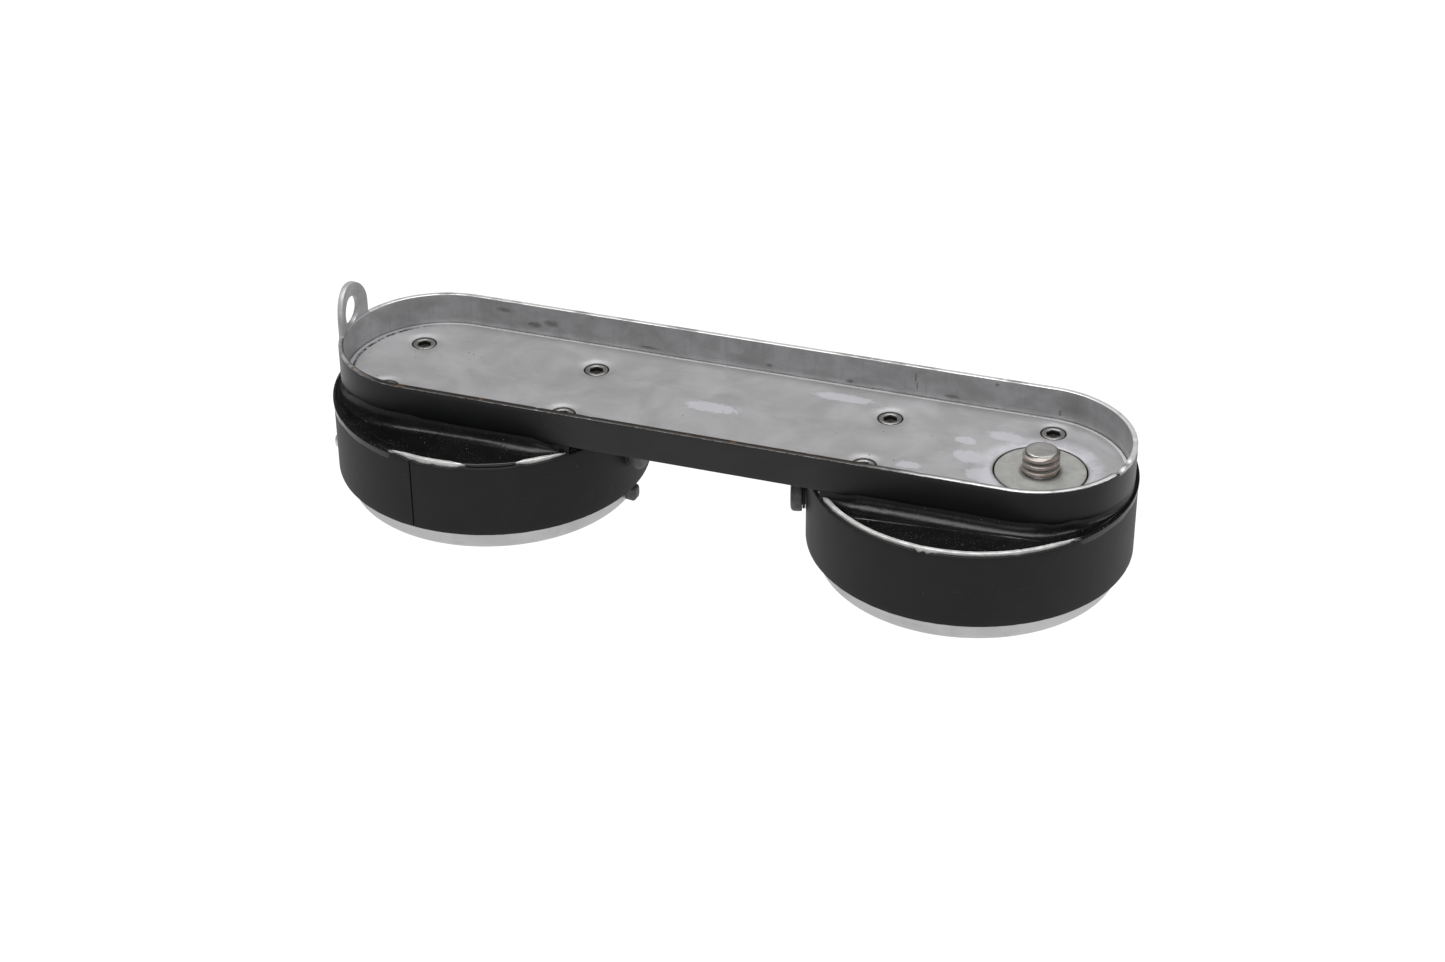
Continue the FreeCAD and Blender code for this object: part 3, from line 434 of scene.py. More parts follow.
    # Washer: off-white nylon, slightly translucent.
    g = Graph("washer_nylon")
    cloud = g.noise(None, 0.35, 4, 0.6, 0.4, 1)
    fine = g.noise(None, 3.0, 3, 0.6, 0, 2)
    r, a = g.polar(*STUD)
    base = g.mix(g.span(cloud, 0.3, 0.7), (0.275, 0.275, 0.262), (0.35, 0.35, 0.335))
    # painted shade: darker round the outer edge and towards the stud; the noise patches are dirt
    dirt_and_painted_shade = g.over(g.mul(g.span(r, 7.35, 7.66), 0.5), g.mul(g.span(r, 3.9, 3.2), 0.7), g.mul(g.span(g.noise(None, 1.1, 5, 0.75, 0.6, 3), 0.58, 0.7), 0.25))
    base = g.mix(dirt_and_painted_shade, base, (0.09, 0.085, 0.07))
    g.bump(g.add(g.mul(cloud, 1.0), g.mul(fine, 0.3)), 0.02)
    MAT["nylon"] = g.set(color=base, metal=0.0, rough=g.add(g.mul(cloud, 0.15), 0.36), spec=0.4, sss=0.15, sss_scale=0.001)

    # Dark grey trim metal: plug knobs, tabs.
    g = Graph("trim_metal")
    n1 = g.noise(None, 0.9, 5, 0.7, 0.4, 1)
    n2 = g.noise(None, 5.0, 3, 0.7, 0, 2)
    base = g.mix(g.span(n1, 0.3, 0.7), (0.060, 0.061, 0.062), (0.115, 0.116, 0.117))
    base = g.mix(g.mul(g.span(n1, 0.58, 0.7), 0.4), base, (0.19, 0.185, 0.18))
    g.bump(g.add(g.mul(n1, 0.8), g.mul(n2, 0.4)), 0.03)
    MAT["trim"] = g.set(color=base, metal=0.55, rough=g.add(g.mul(n1, 0.2), 0.40), spec=0.45)

    g = Graph("rivet_metal")
    n1 = g.noise(None, 2.2, 5, 0.7, 0.4, 1)
    base = g.mix(g.span(n1, 0.35, 0.65), (0.55, 0.55, 0.54), (0.78, 0.78, 0.77))
    g.bump(n1, 0.03)
    MAT["rivet"] = g.set(color=base, metal=0.85, rough=g.add(g.mul(n1, 0.25), 0.28))

    # Rubber.
    g = Graph("black_rubber")
    n1 = g.noise(None, 2.0, 4, 0.65, 0, 1)
    n2 = g.noise(None, 9.0, 2, 0.6, 0, 2)
    base = g.mix(g.span(n1, 0.3, 0.7), (0.012, 0.012, 0.012), (0.026, 0.025, 0.024))
    g.bump(g.add(n1, g.mul(n2, 0.5)), 0.03)
    MAT["rubber"] = g.set(color=base, metal=0.0, rough=g.add(g.mul(n1, 0.2), 0.55), spec=0.35)

    # Reel moulding: off-white plastic with faint staining from the chemicals.
    g = Graph("reel_plastic")
    n1 = g.noise(None, 0.25, 5, 0.6, 0.5, 1)
    n2 = g.noise(None, 3.5, 3, 0.6, 0, 2)
    r, a = g.polar()
    base = g.mix(g.span(n1, 0.3, 0.7), (0.62, 0.60, 0.52), (0.74, 0.73, 0.68))
    base = g.mix(g.mul(g.span(g.noise(None, 0.6, 5, 0.7, 0.8, 3), 0.56, 0.72), 0.35), base, (0.40, 0.32, 0.20))
    g.bump(g.add(g.mul(n1, 0.6), g.mul(n2, 0.3)), 0.02)
    MAT["reel"] = g.set(color=base, metal=0.0, rough=g.add(g.mul(n1, 0.15), 0.38), spec=0.45)

    # Turned steel for spindles, clips, doublers and stop rings.
    g = Graph("turned_steel")
    r, a = g.polar()
    n1 = g.noise(g.vec(g.mul(r, 6.0), g.mul(a, 0.5), g.mul(g.z, 6.0)), 1.0, 4, 0.65, 0, 1)
    n2 = g.noise(None, 0.5, 4, 0.6, 0.3, 2)
    base = g.mix(g.span(n2, 0.3, 0.7), (0.46, 0.46, 0.455), (0.60, 0.60, 0.59))
    base = g.mix(g.mul(g.span(n1, 0.5, 0.7), 0.4), base, (0.70, 0.70, 0.69))
    g.bump(g.add(n1, g.mul(n2, 0.5)), 0.02)
    MAT["turned"] = g.set(color=base, metal=0.85, rough=g.add(g.mul(n1, 0.15), g.mul(n2, 0.1), 0.28))


make_materials()


# ------------------------------------------------------------------ mesh helpers
def piece(name, verts, faces, body, mat, sharp=32.0):
    me = bpy.data.meshes.new(name)
    me.from_pydata([tuple(float(c) * MM for c in v) for v in verts], [], [tuple(f) for f in faces])
    me.update()
    bm = bmesh.new()
    bm.from_mesh(me)
    bmesh.ops.remove_doubles(bm, verts=bm.verts, dist=2e-6)
    bmesh.ops.dissolve_degenerate(bm, edges=bm.edges, dist=1e-7)
    bmesh.ops.recalc_face_normals(bm, faces=bm.faces)
    bm.to_mesh(me)
    bm.free()
    me.polygons.foreach_set("use_smooth", [True] * len(me.polygons))
    me.set_sharp_from_angle(angle=math.radians(sharp))
    me.materials.append(MAT[mat])
    ob = bpy.data.objects.new(name, me)
    scene.collection.objects.link(ob)
    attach(ob, body)
    return ob


def grid_faces(nu, nv, close_u, close_v, start=0):
    faces = []
    for i in range(nu if close_u else nu - 1):
        for j in range(nv if close_v else nv - 1):
            a = start + i * nv + j
            b = start + ((i + 1) % nu) * nv + j
            c = start + ((i + 1) % nu) * nv + (j + 1) % nv
            d = start + i * nv + (j + 1) % nv
            faces.append((a, b, c, d))
    return faces


def rounded(points, radii, steps=5):
    """A closed 2-D profile with its corners turned into arcs."""
    out = []
    n = len(points)
    for i, (p, r) in enumerate(zip(points, radii)):
        p = Vector(p)
        if r <= 0:
            out.append(tuple(p))
            continue
        a = (Vector(points[i - 1]) - p)
        b = (Vector(points[(i + 1) % n]) - p)
        la, lb = a.length, b.length
        a.normalize()
        b.normalize()
        ang = a.angle(b)
        t = min(r / math.tan(ang / 2), la * 0.48, lb * 0.48)
        r2 = t * math.tan(ang / 2)
        centre = p + (a + b).normalized() * (r2 / math.sin(ang / 2))
        s, e = p + a * t - centre, p + b * t - centre
        a0, a1 = math.atan2(s.y, s.x), math.atan2(e.y, e.x)
        while a1 - a0 > math.pi:
            a1 -= 2 * math.pi
        while a1 - a0 < -math.pi:
            a1 += 2 * math.pi
        for k in range(steps + 1):
            q = a0 + (a1 - a0) * k / steps
            out.append((centre.x + r2 * math.cos(q), centre.y + r2 * math.sin(q)))
    return out


def densify(profile, longest):
    out = []
    n = len(profile)
    for i in range(n):
        a, b = Vector(profile[i]), Vector(profile[(i + 1) % n])
        k = max(1, int(math.ceil((b - a).length / longest)))
        for j in range(k):
            out.append(tuple(a.lerp(b, j / k)))
    return out


def revolve(name, profile, cx, cy, body, mat, angles=240, shape=None, sharp=32.0, place=None):
    """A closed ring turned about a vertical axis from a closed (radius, height) profile."""
    th = [2 * math.pi * k / angles for k in range(angles)] if isinstance(angles, int) else angles
    verts = []
    for t in th:
        c, s = math.cos(t), math.sin(t)
        for r, z in profile:
            if shape:
                r, z = shape(t, r, z)
            v = (cx + r * c, cy + r * s, z)
            verts.append(place(v) if place else v)
    return piece(name, verts, grid_faces(len(th), len(profile), True, True), body, mat, sharp)


def solid_turn(name, profile, cx, cy, body, mat, angles=160, shape=None, sharp=32.0, place=None):
    """A solid turned from an open (radius, height) profile that starts and ends on the axis."""
    verts, faces = [], []
    n = angles
    start = profile[0][1]
    end = profile[-1][1]
    mid = profile[1:-1]
    for k in range(n):
        t = 2 * math.pi * k / n
        c, s = math.cos(t), math.sin(t)
        for r, z in mid:
            if shape:
                r, z = shape(t, r, z)
            verts.append((cx + r * c, cy + r * s, z))
    faces = grid_faces(n, len(mid), True, False)
    a, b = len(verts), len(verts) + 1
    verts += [(cx, cy, start), (cx, cy, end)]
    m = len(mid)
    for k in range(n):
        k2 = (k + 1) % n
        faces.append((a, k2 * m, k * m))
        faces.append((b, k * m + m - 1, k2 * m + m - 1))
    if place:
        verts = [place(v) for v in verts]
    return piece(name, verts, faces, body, mat, sharp)


def outline(step):
    """Points, outward normals and distances round the tray's outer edge, starting mid-way on the -Y side."""
    straight = 2 * END_X
    arc = math.pi * R_END
    total = 2 * straight + 2 * arc
    out = []
    n = int(round(total / step))
    for k in range(n):
        q = total * k / n
        if q < straight / 2:
            p, nn = (q, -R_END), (0, -1)
        elif q < straight / 2 + arc:
            t = -math.pi / 2 + (q - straight / 2) / R_END
            p, nn = (END_X + R_END * math.cos(t), R_END * math.sin(t)), (math.cos(t), math.sin(t))
        elif q < 1.5 * straight + arc:
            p, nn = (END_X - (q - straight / 2 - arc), R_END), (0, 1)
        elif q < 1.5 * straight + 2 * arc:
            t = math.pi / 2 + (q - 1.5 * straight - arc) / R_END
            p, nn = (-END_X + R_END * math.cos(t), R_END * math.sin(t)), (math.cos(t), math.sin(t))
        else:
            p, nn = (-END_X + (q - 1.5 * straight - 2 * arc), -R_END), (0, -1)
        out.append((p, nn, q))
    return out


# ------------------------------------------------------------------ tray band with its lug
def make_band():
    prof = rounded([(0, BAND_LOW), (0, RIM), (-WALL, RIM), (-WALL, BAND_LOW)], [0.12, 0.16, 0.16, 0.12], 4)
    # more rows up the outer and inner faces, so that dents can show
    prof = densify(prof, 1.1)
    path = outline(0.45)
    verts = []
    for (px, py), (nx, ny), q in path:
        wob = 0.05 * n3(px * 0.06, py * 0.06, 1.0) + 0.02 * n3(px * 0.35, py * 0.35, 2.0)
        rim_nick = 0.0
        for cx, cy, w, d in ((69.2, -6.0, 1.1, 0.5), (69.9, -3.4, 0.7, 0.28), (-27.5, -17.3, 0.5, 0.10),
                             (-18.0, -17.3, 0.6, 0.08), (38.5, -17.3, 0.9, 0.07), (69.6, 4.0, 0.8, 0.10), (20.0, -17.3, 0.4, 0.06)):
            dist = math.hypot(px - cx, py - cy)
            rim_nick += d * math.exp(-(dist / w) ** 2)
        for off, z in prof:
            up = smooth((z - 22.5) / (RIM - 22.5))
            o = off + wob * 0.5 * up
            zz = z + (0.12 * wob - rim_nick) * smooth((z - 23.6) / (RIM - 23.6))
            verts.append((px + nx * o, py + ny * o, zz))
    faces = grid_faces(len(path), len(prof), True, True)
    # Lug: a bent plate whose outline runs round the hole.
    hole_z, hr, half, top_z = 27.55, 2.6, 5.2, 27.4
    fillet = 0.55
    n = 144
    rows_out, rows_in = [], []

    def edge_point(phi):
        """Where a ray from the hole centre leaves the lug outline, in (across, up)."""
        c, s = math.cos(phi), math.sin(phi)
        best = None
        k = 0.0
        step = 0.02
        d = hr
        while d < 12:
            d += step
            a, z = d * c, hole_z + d * s
            inside = False
            if z >= top_z:
                inside = a * a + (z - top_z) ** 2 <= half * half
            elif z >= RIM + fillet:
                inside = abs(a) <= half
            elif z >= RIM - 0.9:
                zz = max(z - RIM, 0.0)
                grow = fillet - math.sqrt(max(0.0, fillet ** 2 - (fillet - zz) ** 2))
                inside = abs(a) <= half + grow
            if not inside:
                break
        return d - step

    base = len(verts)
    layers = []
    bead = 0.09
    inner_r, outer_r = R_END - WALL - 0.015, R_END + 0.015
    ring_rows = []
    for k in range(n):
        phi = 2 * math.pi * (k + 0.5) / n
        d1 = edge_point(phi)
        c, s = math.cos(phi), math.sin(phi)
        # across the outside face, round the outer edge, back along the inside face, through the hole
        row = []
        samples = [(hr + bead * 0.0, 0.90), (hr + bead * 0.3, 0.97), (hr + bead, 1.0), (hr + bead + 0.07, 1.0)]
        fr = [0.2, 0.45, 0.7]
        for f in fr:
            samples.append((hr + bead + (d1 - bead - hr - bead) * f, 1.0))
        samples += [(d1 - bead - 0.07, 1.0), (d1 - bead, 1.0), (d1 - bead * 0.3, 0.97), (d1, 0.90)]
        outer = samples
        for d, t in outer:
            row.append((d, t))
        for d, t in reversed(outer):
            row.append((d, 1 - t))
        pts = []
        for d, t in row:
            a, z = d * c, hole_z + d * s
            rad = inner_r + (outer_r - inner_r) * t + 0.02 * n3(a * 0.4, z * 0.4, 5.0)
            ang = math.pi - a / (R_END - WALL / 2)
            lean = 0.0
            pts.append((-END_X + rad * math.cos(ang) + lean, rad * math.sin(ang), z))
        ring_rows.append(pts)
    m = len(ring_rows[0])
    for pts in ring_rows:
        verts += pts
    faces += grid_faces(n, m, True, True, base)
    ob = piece("tray_band_wall", verts, faces, "tank", "band", 38.0)
    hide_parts("tray_band")


# ------------------------------------------------------------------ floor plate with its dimples
def make_floor():
    pts, edges = [], []

    def loop(ps):
        s = len(pts)
        pts.extend(Vector(p) for p in ps)
        for i in range(len(ps)):
            edges.append((s + i, s + (i + 1) % len(ps)))

    def ring(cx, cy, r, n):
        loop([(cx + r * math.cos(2 * math.pi * k / n), cy + r * math.sin(2 * math.pi * k / n)) for k in range(n)])

    def stadium_ring(off, step):
        loop([(p[0] + nn[0] * off, p[1] + nn[1] * off) for p, nn, q in outline(step)])

    stadium_ring(-0.98, 0.9)
    stadium_ring(-1.08, 0.9)
    stadium_ring(-1.25, 0.9)
    stadium_ring(-2.2, 1.6)
    holes = []
    for side in SCREWS:
        for sx, sy in SCREWS[side]:
            for r, k in ((2.22, 48), (2.32, 48), (2.5, 48), (2.75, 48), (3.05, 48), (3.4, 48), (3.9, 48), (4.5, 40)):
                if sy and abs(sy) + r > 16.0 - 0.0 and abs(sx) > 50:
                    lim = 15.2
                ring(sx, sy, r, k) if math.hypot(max(abs(sx) - END_X, 0), abs(sy)) + r < 15.1 else None
            holes.append((sx, sy, 2.22))
    for r, k in ((7.86, 120), (7.94, 120), (8.1, 120), (8.6, 110), (9.4, 100)):
        ring(STUD[0], STUD[1], r, k)
    holes.append((STUD[0], STUD[1], 7.86))
    # screw rings that would reach past 15.1 mm from the centre line are left out
    far = Vector(STUD)
    # background lattice keeps triangles even for the slow waves of the sheet
    for i in range(-45, 46):
        for j in range(-9, 10):
            x, y = i * 1.5 + (0.75 if j % 2 else 0), j * 1.5
            d = math.hypot(max(abs(x) - END_X, 0), y)
            if d > 15.0:
                continue
            if any(math.hypot(x - cx, y - cy) < (4.8 if rr < 3 else 9.9) for cx, cy, rr in holes):
                continue
            pts.append(Vector((x, y)))
    vs, es, fs, _, _, _ = delaunay_2d_cdt(pts, edges, [], 0, 1e-5)

    def height(x, y):
        z = FLOOR
        d = math.hypot(max(abs(x) - END_X, 0), y)
        z += 0.035 * n3(x * 0.05, y * 0.05, 3.0) + 0.012 * n3(x * 0.3, y * 0.3, 4.0)
        for cx, cy, rr in holes[:-1]:
            q = math.hypot(x - cx, y - cy)
            if q < 4.6:
                z -= 0.26 * math.exp(-((max(q - 2.2, 0)) / 0.85) ** 2)
        q = math.hypot(x - STUD[0], y - STUD[1])
        if q < 8.2:
            z -= 0.10 * smooth((8.15 - q) / 0.3)
        if d > R_END - 1.10:
            z -= 0.14 * smooth((d - (R_END - 1.12)) / 0.14)
        return z

    top = []
    keep = []
    for f in fs:
        c = sum((vs[i] for i in f), Vector((0, 0))) / len(f)
        d = math.hypot(max(abs(c.x) - END_X, 0), c.y)
        if d > R_END - 0.98 + 0.002:
            continue
        if any(math.hypot(c.x - cx, c.y - cy) < rr - 0.004 for cx, cy, rr in holes):
            continue
        keep.append(tuple(f))
    used = sorted({i for f in keep for i in f})
    index = {v: k for k, v in enumerate(used)}
    n = len(used)
    verts = [(vs[v].x, vs[v].y, height(vs[v].x, vs[v].y)) for v in used]
    verts += [(vs[v].x, vs[v].y, FLOOR - 0.58) for v in used]
    faces = [tuple(index[i] for i in f) for f in keep]
    count = {}
    for f in faces:
        for a, b in zip(f, f[1:] + f[:1]):
            count.setdefault((min(a, b), max(a, b)), []).append((a, b))
    lower = [tuple(i + n for i in reversed(f)) for f in faces]
    sides = []
    for key, used_by in count.items():
        if len(used_by) == 1:
            a, b = used_by[0]
            sides.append((b, a, a + n, b + n))
    ob = piece("floor_plate_sheet", verts, faces + lower + sides, "tank", "floor", 34.0)
    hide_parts("floor_plate")


# ------------------------------------------------------------------ plate screws
def make_screws():
    for side in SCREWS:
        verts, faces = [], []
        for num, (sx, sy) in enumerate(SCREWS[side]):
            top = FLOOR - 0.20
            twist = 0.3 + num * 0.55
            n = 96
            base = len(verts)
            rows = []
            for k in range(n):
                t = 2 * math.pi * k / n
                h = ((math.degrees(t - twist) + 30.0) % 60.0) - 30.0
                hexr = 1.12 / math.cos(math.radians(h))
                prof = [(1.22, 15.4), (1.22, 17.75), (2.00, top - 0.34), (2.01, top - 0.22), (1.95, top - 0.08), (1.82, top - 0.02),
                        (1.66, top), (1.52, top - 0.01), (1.42, top - 0.06), ("h", top - 0.10), ("h", top - 0.5), ("h", top - 0.85)]
                for r, z in prof:
                    rr = hexr * (1.03 if z > top - 0.2 else 1.0) if r == "h" else r
                    rows.append((sx + rr * math.cos(t), sy + rr * math.sin(t), z))
            m = 12
            verts += rows
            faces += grid_faces(n, m, True, False, base)
            a = len(verts)
            verts += [(sx, sy, 15.4), (sx, sy, top - 1.05)]
            for k in range(n):
                k2 = (k + 1) % n
                faces.append((a, base + k2 * m, base + k * m))
                faces.append((a + 1, base + k * m + m - 1, base + k2 * m + m - 1))
        ob = piece("plate_screw_set_" + side, verts, faces, "tank", "screw", 30.0)
        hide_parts("plate_screws_" + side)


# ------------------------------------------------------------------ clamp stud, washer
def make_stud():
    pitch, crest, depth = 1.27, 3.09, 0.62
    z0, z1 = 19.02, 23.1
    nth, nz = 128, 140
    verts = []
    for k in range(nth):
        t = 2 * math.pi * k / nth
        for j in range(nz + 1):
            z = z0 + (z1 - z0) * j / nz
            phase = ((z / pitch) - t / (2 * math.pi) + 0.18) % 1.0
            tri = abs(phase - 0.5) * 2  # 1 at the crest, 0 at the root
            prof = smooth((tri - 0.06) / 0.68)
            r = crest - depth * (1 - prof)
            # tapered start of the thread at the tip
            lead = z1 - z
            if lead < 0.75:
                r = min(r, 2.46 + 0.62 * min(1.0, (lead / 0.55)) ** 0.8 if lead < 0.55 else r)
            if lead < 0.10:
                r -= 0.10 - lead
            if z < 19.5:
                r = 2.8 + (r - 2.8) * smooth((z - 19.12) / 0.36)
            r += 0.012 * n3(math.cos(t) * 3, math.sin(t) * 3, z * 1.4)
            verts.append((STUD[0] + r * math.cos(t), STUD[1] + r * math.sin(t), z))
    faces = grid_faces(nth, nz + 1, True, False)
    a = len(verts)
    m = nz + 1
    # flat end with a faint turned dish, then closed
    ring_r = (2.0, 1.3, 0.6)
    prev = [k * m + m - 1 for k in range(nth)]
    for rr, dz in ((2.05, 0.0), (1.3, -0.02), (0.6, -0.035)):
        s = len(verts)
        for k in range(nth):
            t = 2 * math.pi * k / nth
            verts.append((STUD[0] + rr * math.cos(t), STUD[1] + rr * math.sin(t), z1 + dz))
        cur = list(range(s, s + nth))
        for k in range(nth):
            k2 = (k + 1) % nth
            faces.append((prev[k], prev[k2], cur[k2], cur[k]))
        prev = cur
    c = len(verts)
    verts.append((STUD[0], STUD[1], z1 - 0.04))
    for k in range(nth):
        faces.append((prev[k], prev[(k + 1) % nth], c))
    # plain shank and slotted head below, as one skin
    prev = [k * m for k in range(nth)]
    for rr, zz in ((2.79, 18.9), (2.79, 15.72), (4.75, 15.70), (4.88, 15.6), (4.88, 15.32), (4.76, 15.2), (3.0, 15.2), (1.5, 15.2)):
        s = len(verts)
        for k in range(nth):
            t = 2 * math.pi * k / nth
            z = zz
            x, y = rr * math.cos(t), rr * math.sin(t)
            verts.append((STUD[0] + x, STUD[1] + y, z))
        cur = list(range(s, s + nth))
        for k in range(nth):
            k2 = (k + 1) % nth
            faces.append((prev[k2], prev[k], cur[k], cur[k2]))
        prev = cur
    c = len(verts)
    verts.append((STUD[0], STUD[1], 15.2))
    for k in range(nth):
        faces.append((prev[(k + 1) % nth], prev[k], c))
    ob = piece("clamp_stud_thread", verts, faces, "clamp_stud", "stud", 50.0)
    cutter_me = bpy.data.meshes.new("slot_cutter")
    cb = bmesh.new()
    bmesh.ops.create_cube(cb, size=1.0, matrix=Matrix.Translation(Vector((STUD[0], STUD[1], 15.2)) * MM) @ Matrix.Diagonal((0.012, 0.0012, 0.0008, 1)))
    cb.to_mesh(cutter_me)
    cb.free()
    cutter = bpy.data.objects.new("slot_cutter", cutter_me)
    scene.collection.objects.link(cutter)
    mod = ob.modifiers.new("slot", "BOOLEAN")
    mod.operation = "DIFFERENCE"
    mod.solver = "EXACT"
    mod.object = cutter
    dg = bpy.context.evaluated_depsgraph_get()
    me = bpy.data.meshes.new_from_object(ob.evaluated_get(dg))
    ob.modifiers.clear()
    ob.data = me
    bpy.data.objects.remove(cutter)
    me.set_sharp_from_angle(angle=math.radians(45))
    if not me.materials:
        me.materials.append(MAT["stud"])
    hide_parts("clamp_stud")

    prof = rounded([(2.84, 17.8), (7.6, 17.8), (7.6, 19.08), (2.84, 19.1)], [0.05, 0.1, 0.22, 0.1], 4)
    prof = densify(prof, 0.7)

    def dish(t, r, z):
        if z > 18.9:
            z += -0.03 * math.sin(math.pi * (r - 3.1) / 4.5) + 0.012 * n3(r * math.cos(t) * 0.5, r * math.sin(t) * 0.5, 9)
        return r, z
    ob = revolve("clamp_washer_disc", prof, STUD[0], STUD[1], "clamp_stud", "nylon", 180, dish)
    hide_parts("clamp_washer")


# ------------------------------------------------------------------ chambers
def make_chamber(side, sign):
    cx = DRUM_X * sign
    # Tube with a slightly uneven worn rim.
    prof = rounded([(26.10, 3.64), (26.85, 3.64), (26.85, TUBE_TOP), (26.10, TUBE_TOP)], [0.12, 0.12, 0.16, 0.14], 4)
    prof = densify(prof, 1.6)

    def worn(t, r, z):
        if z > 16.9:
            z += 0.035 * n3(math.cos(t) * 9, math.sin(t) * 9, sign) + 0.02 * n3(math.cos(t) * 30, math.sin(t) * 30, sign * 2)
        return r, z
    ob = revolve("chamber_tube_wall_" + side, prof, cx, 0, "tank", "tube_" + side, 420, worn)
    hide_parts("chamber_tube_" + side)

    # Wrap with a butt seam.
    seam = math.radians(-97.5) if side == "left" else math.radians(82.5)
    base = [2 * math.pi * k / 360 for k in range(360)]
    near = [seam + d for d in (-0.03, -0.016, -0.0075, -0.0050, -0.0032, 0.0032, 0.0050, 0.0075, 0.016, 0.03)]
    ths = sorted([t for t in base if abs((t - seam + math.pi) % (2 * math.pi) - math.pi) > 0.034] + [t % (2 * math.pi) for t in near])
    prof = rounded([(26.87, 3.66), (27.44, 3.66), (27.44, WRAP_TOP), (26.87, WRAP_TOP)], [0.08, 0.16, 0.22, 0.08], 4)
    prof = densify(prof, 1.2)

    def wrapped(t, r, z):
        d = (t - seam + math.pi) % (2 * math.pi) - math.pi
        if r > 27.1:
            if abs(d) < 0.0034:
                r -= 0.28
            elif abs(d) < 0.03:
                r += 0.035 * (1 - abs(d) / 0.03)
            r += 0.025 * n3(math.cos(t) * 4, math.sin(t) * 4, z * 0.12 + sign)
        if z > 16.4:
            z -= 0.10 * max(0.0, n3(math.cos(t) * 14, math.sin(t) * 14, sign * 5)) + 0.04 * (0.5 + n3(math.cos(t) * 45, math.sin(t) * 45, 2))
            deg = math.degrees(math.atan2(math.sin(t), math.cos(t)))
            if side == "left":
                chip = smooth((deg + 104) / 10) * smooth((-76 - deg) / 7)
                z -= chip * (0.30 + 0.42 * max(0, 0.35 + n3(math.cos(t) * 24, math.sin(t) * 24, 7)))
                chip = smooth((deg + 59) / 5) * smooth((-41 - deg) / 8)
                z -= chip * 0.26
                z -= 0.30 * smooth((deg + 78) / 3) * smooth((-58 - deg) / 3)
            else:
                z -= 0.16 * smooth((deg + 146) / 6) * smooth((-36 - deg) / 6)
                for c0, w, dz in ((-93.6, 0.7, 0.75), (-90.6, 0.8, 0.6), (-88.4, 0.5, 0.3), (-132.0, 1.0, 0.15), (-60.0, 1.3, 0.12)):
                    z -= dz * math.exp(-((deg - c0) / w) ** 2)
        if z < 4.0:
            z += 0.05 * (0.5 + n3(math.cos(t) * 22, math.sin(t) * 22, 3 * sign))
        return r, z
    ob = revolve("chamber_wrap_skin_" + side, prof, cx, 0, "tank", "wrap", ths, wrapped)
    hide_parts("chamber_wrap_" + side)

    # Lacquered deck and saddle: one skin from the tray wall out over the roof.
    path = outline(0.3)
    rows = []
    for (px, py), (nx, ny), q in path:
        lim = 74.0 if side == "left" else 42.0
        end = smooth((abs(math.degrees(math.atan2(py, (px - cx) * sign))) - lim) / -9.0)
        rb = 26.12 + end * 1.40
        qx, qy = px - cx, py
        b = qx * nx + qy * ny
        c = qx * qx + qy * qy - rb * rb
        if qx * qx + qy * qy >= 27.36 ** 2:
            rows.append(None)
            continue
        reach = -b + math.sqrt(b * b - c) if c < 0 else 0.0
        rows.append(((px, py), (nx, ny), max(reach, 0.03), end))
    n = len(rows)
    start = next(i for i in range(n) if rows[i] is not None and rows[i - 1] is None)
    seq = []
    i = start
    while rows[i % n] is not None and len(seq) < n:
        seq.append(rows[i % n])
        i += 1
    verts = []
    for k, ((px, py), (nx, ny), D, end) in enumerate(seq):
        wob = n3(px * 0.09, py * 0.09, 2.0 + sign)
        foot = 2.2 + 0.35 * wob
        rise = 2.05 + 0.30 * n3(px * 0.07, py * 0.07, 6.0) + 0.45 * end
        # last few samples shrink the fillet into the corner where the wall leaves the chamber
        taper = smooth(D / 4.5)
        rise *= 0.06 + 0.94 * taper
        foot = max(0.25, foot * (0.35 + 0.65 * taper))
        loop = []
        
        def deck(d):
            x, y = px + nx * d, py + ny * d
            flat = ROOF + 0.012 + (TUBE_TOP + 0.06 - ROOF) * end * smooth((d - max(D - 3.4, 0.0)) / max(0.2, min(D, 2.2))) + (WRAP_TOP - TUBE_TOP) * end * smooth((d - D + 0.5) / 0.5) + 0.045 * n3(x * 0.11, y * 0.11, 4.0 + sign)
            t = max(0.0, 1 - d / foot)
            z = flat + rise * (1 - math.sqrt(max(0.0, 1 - t ** 2.0))) if t > 0 else flat
            if side == "right" and y < 0:
                yr = -21.2 + (x - 28.3) * 0.0885
                z += 0.11 * math.exp(-((y - yr) / 0.20) ** 2) * smooth((x - 27.5) / 2) * smooth((61 - x) / 3)
            if side == "left" and y < 0:
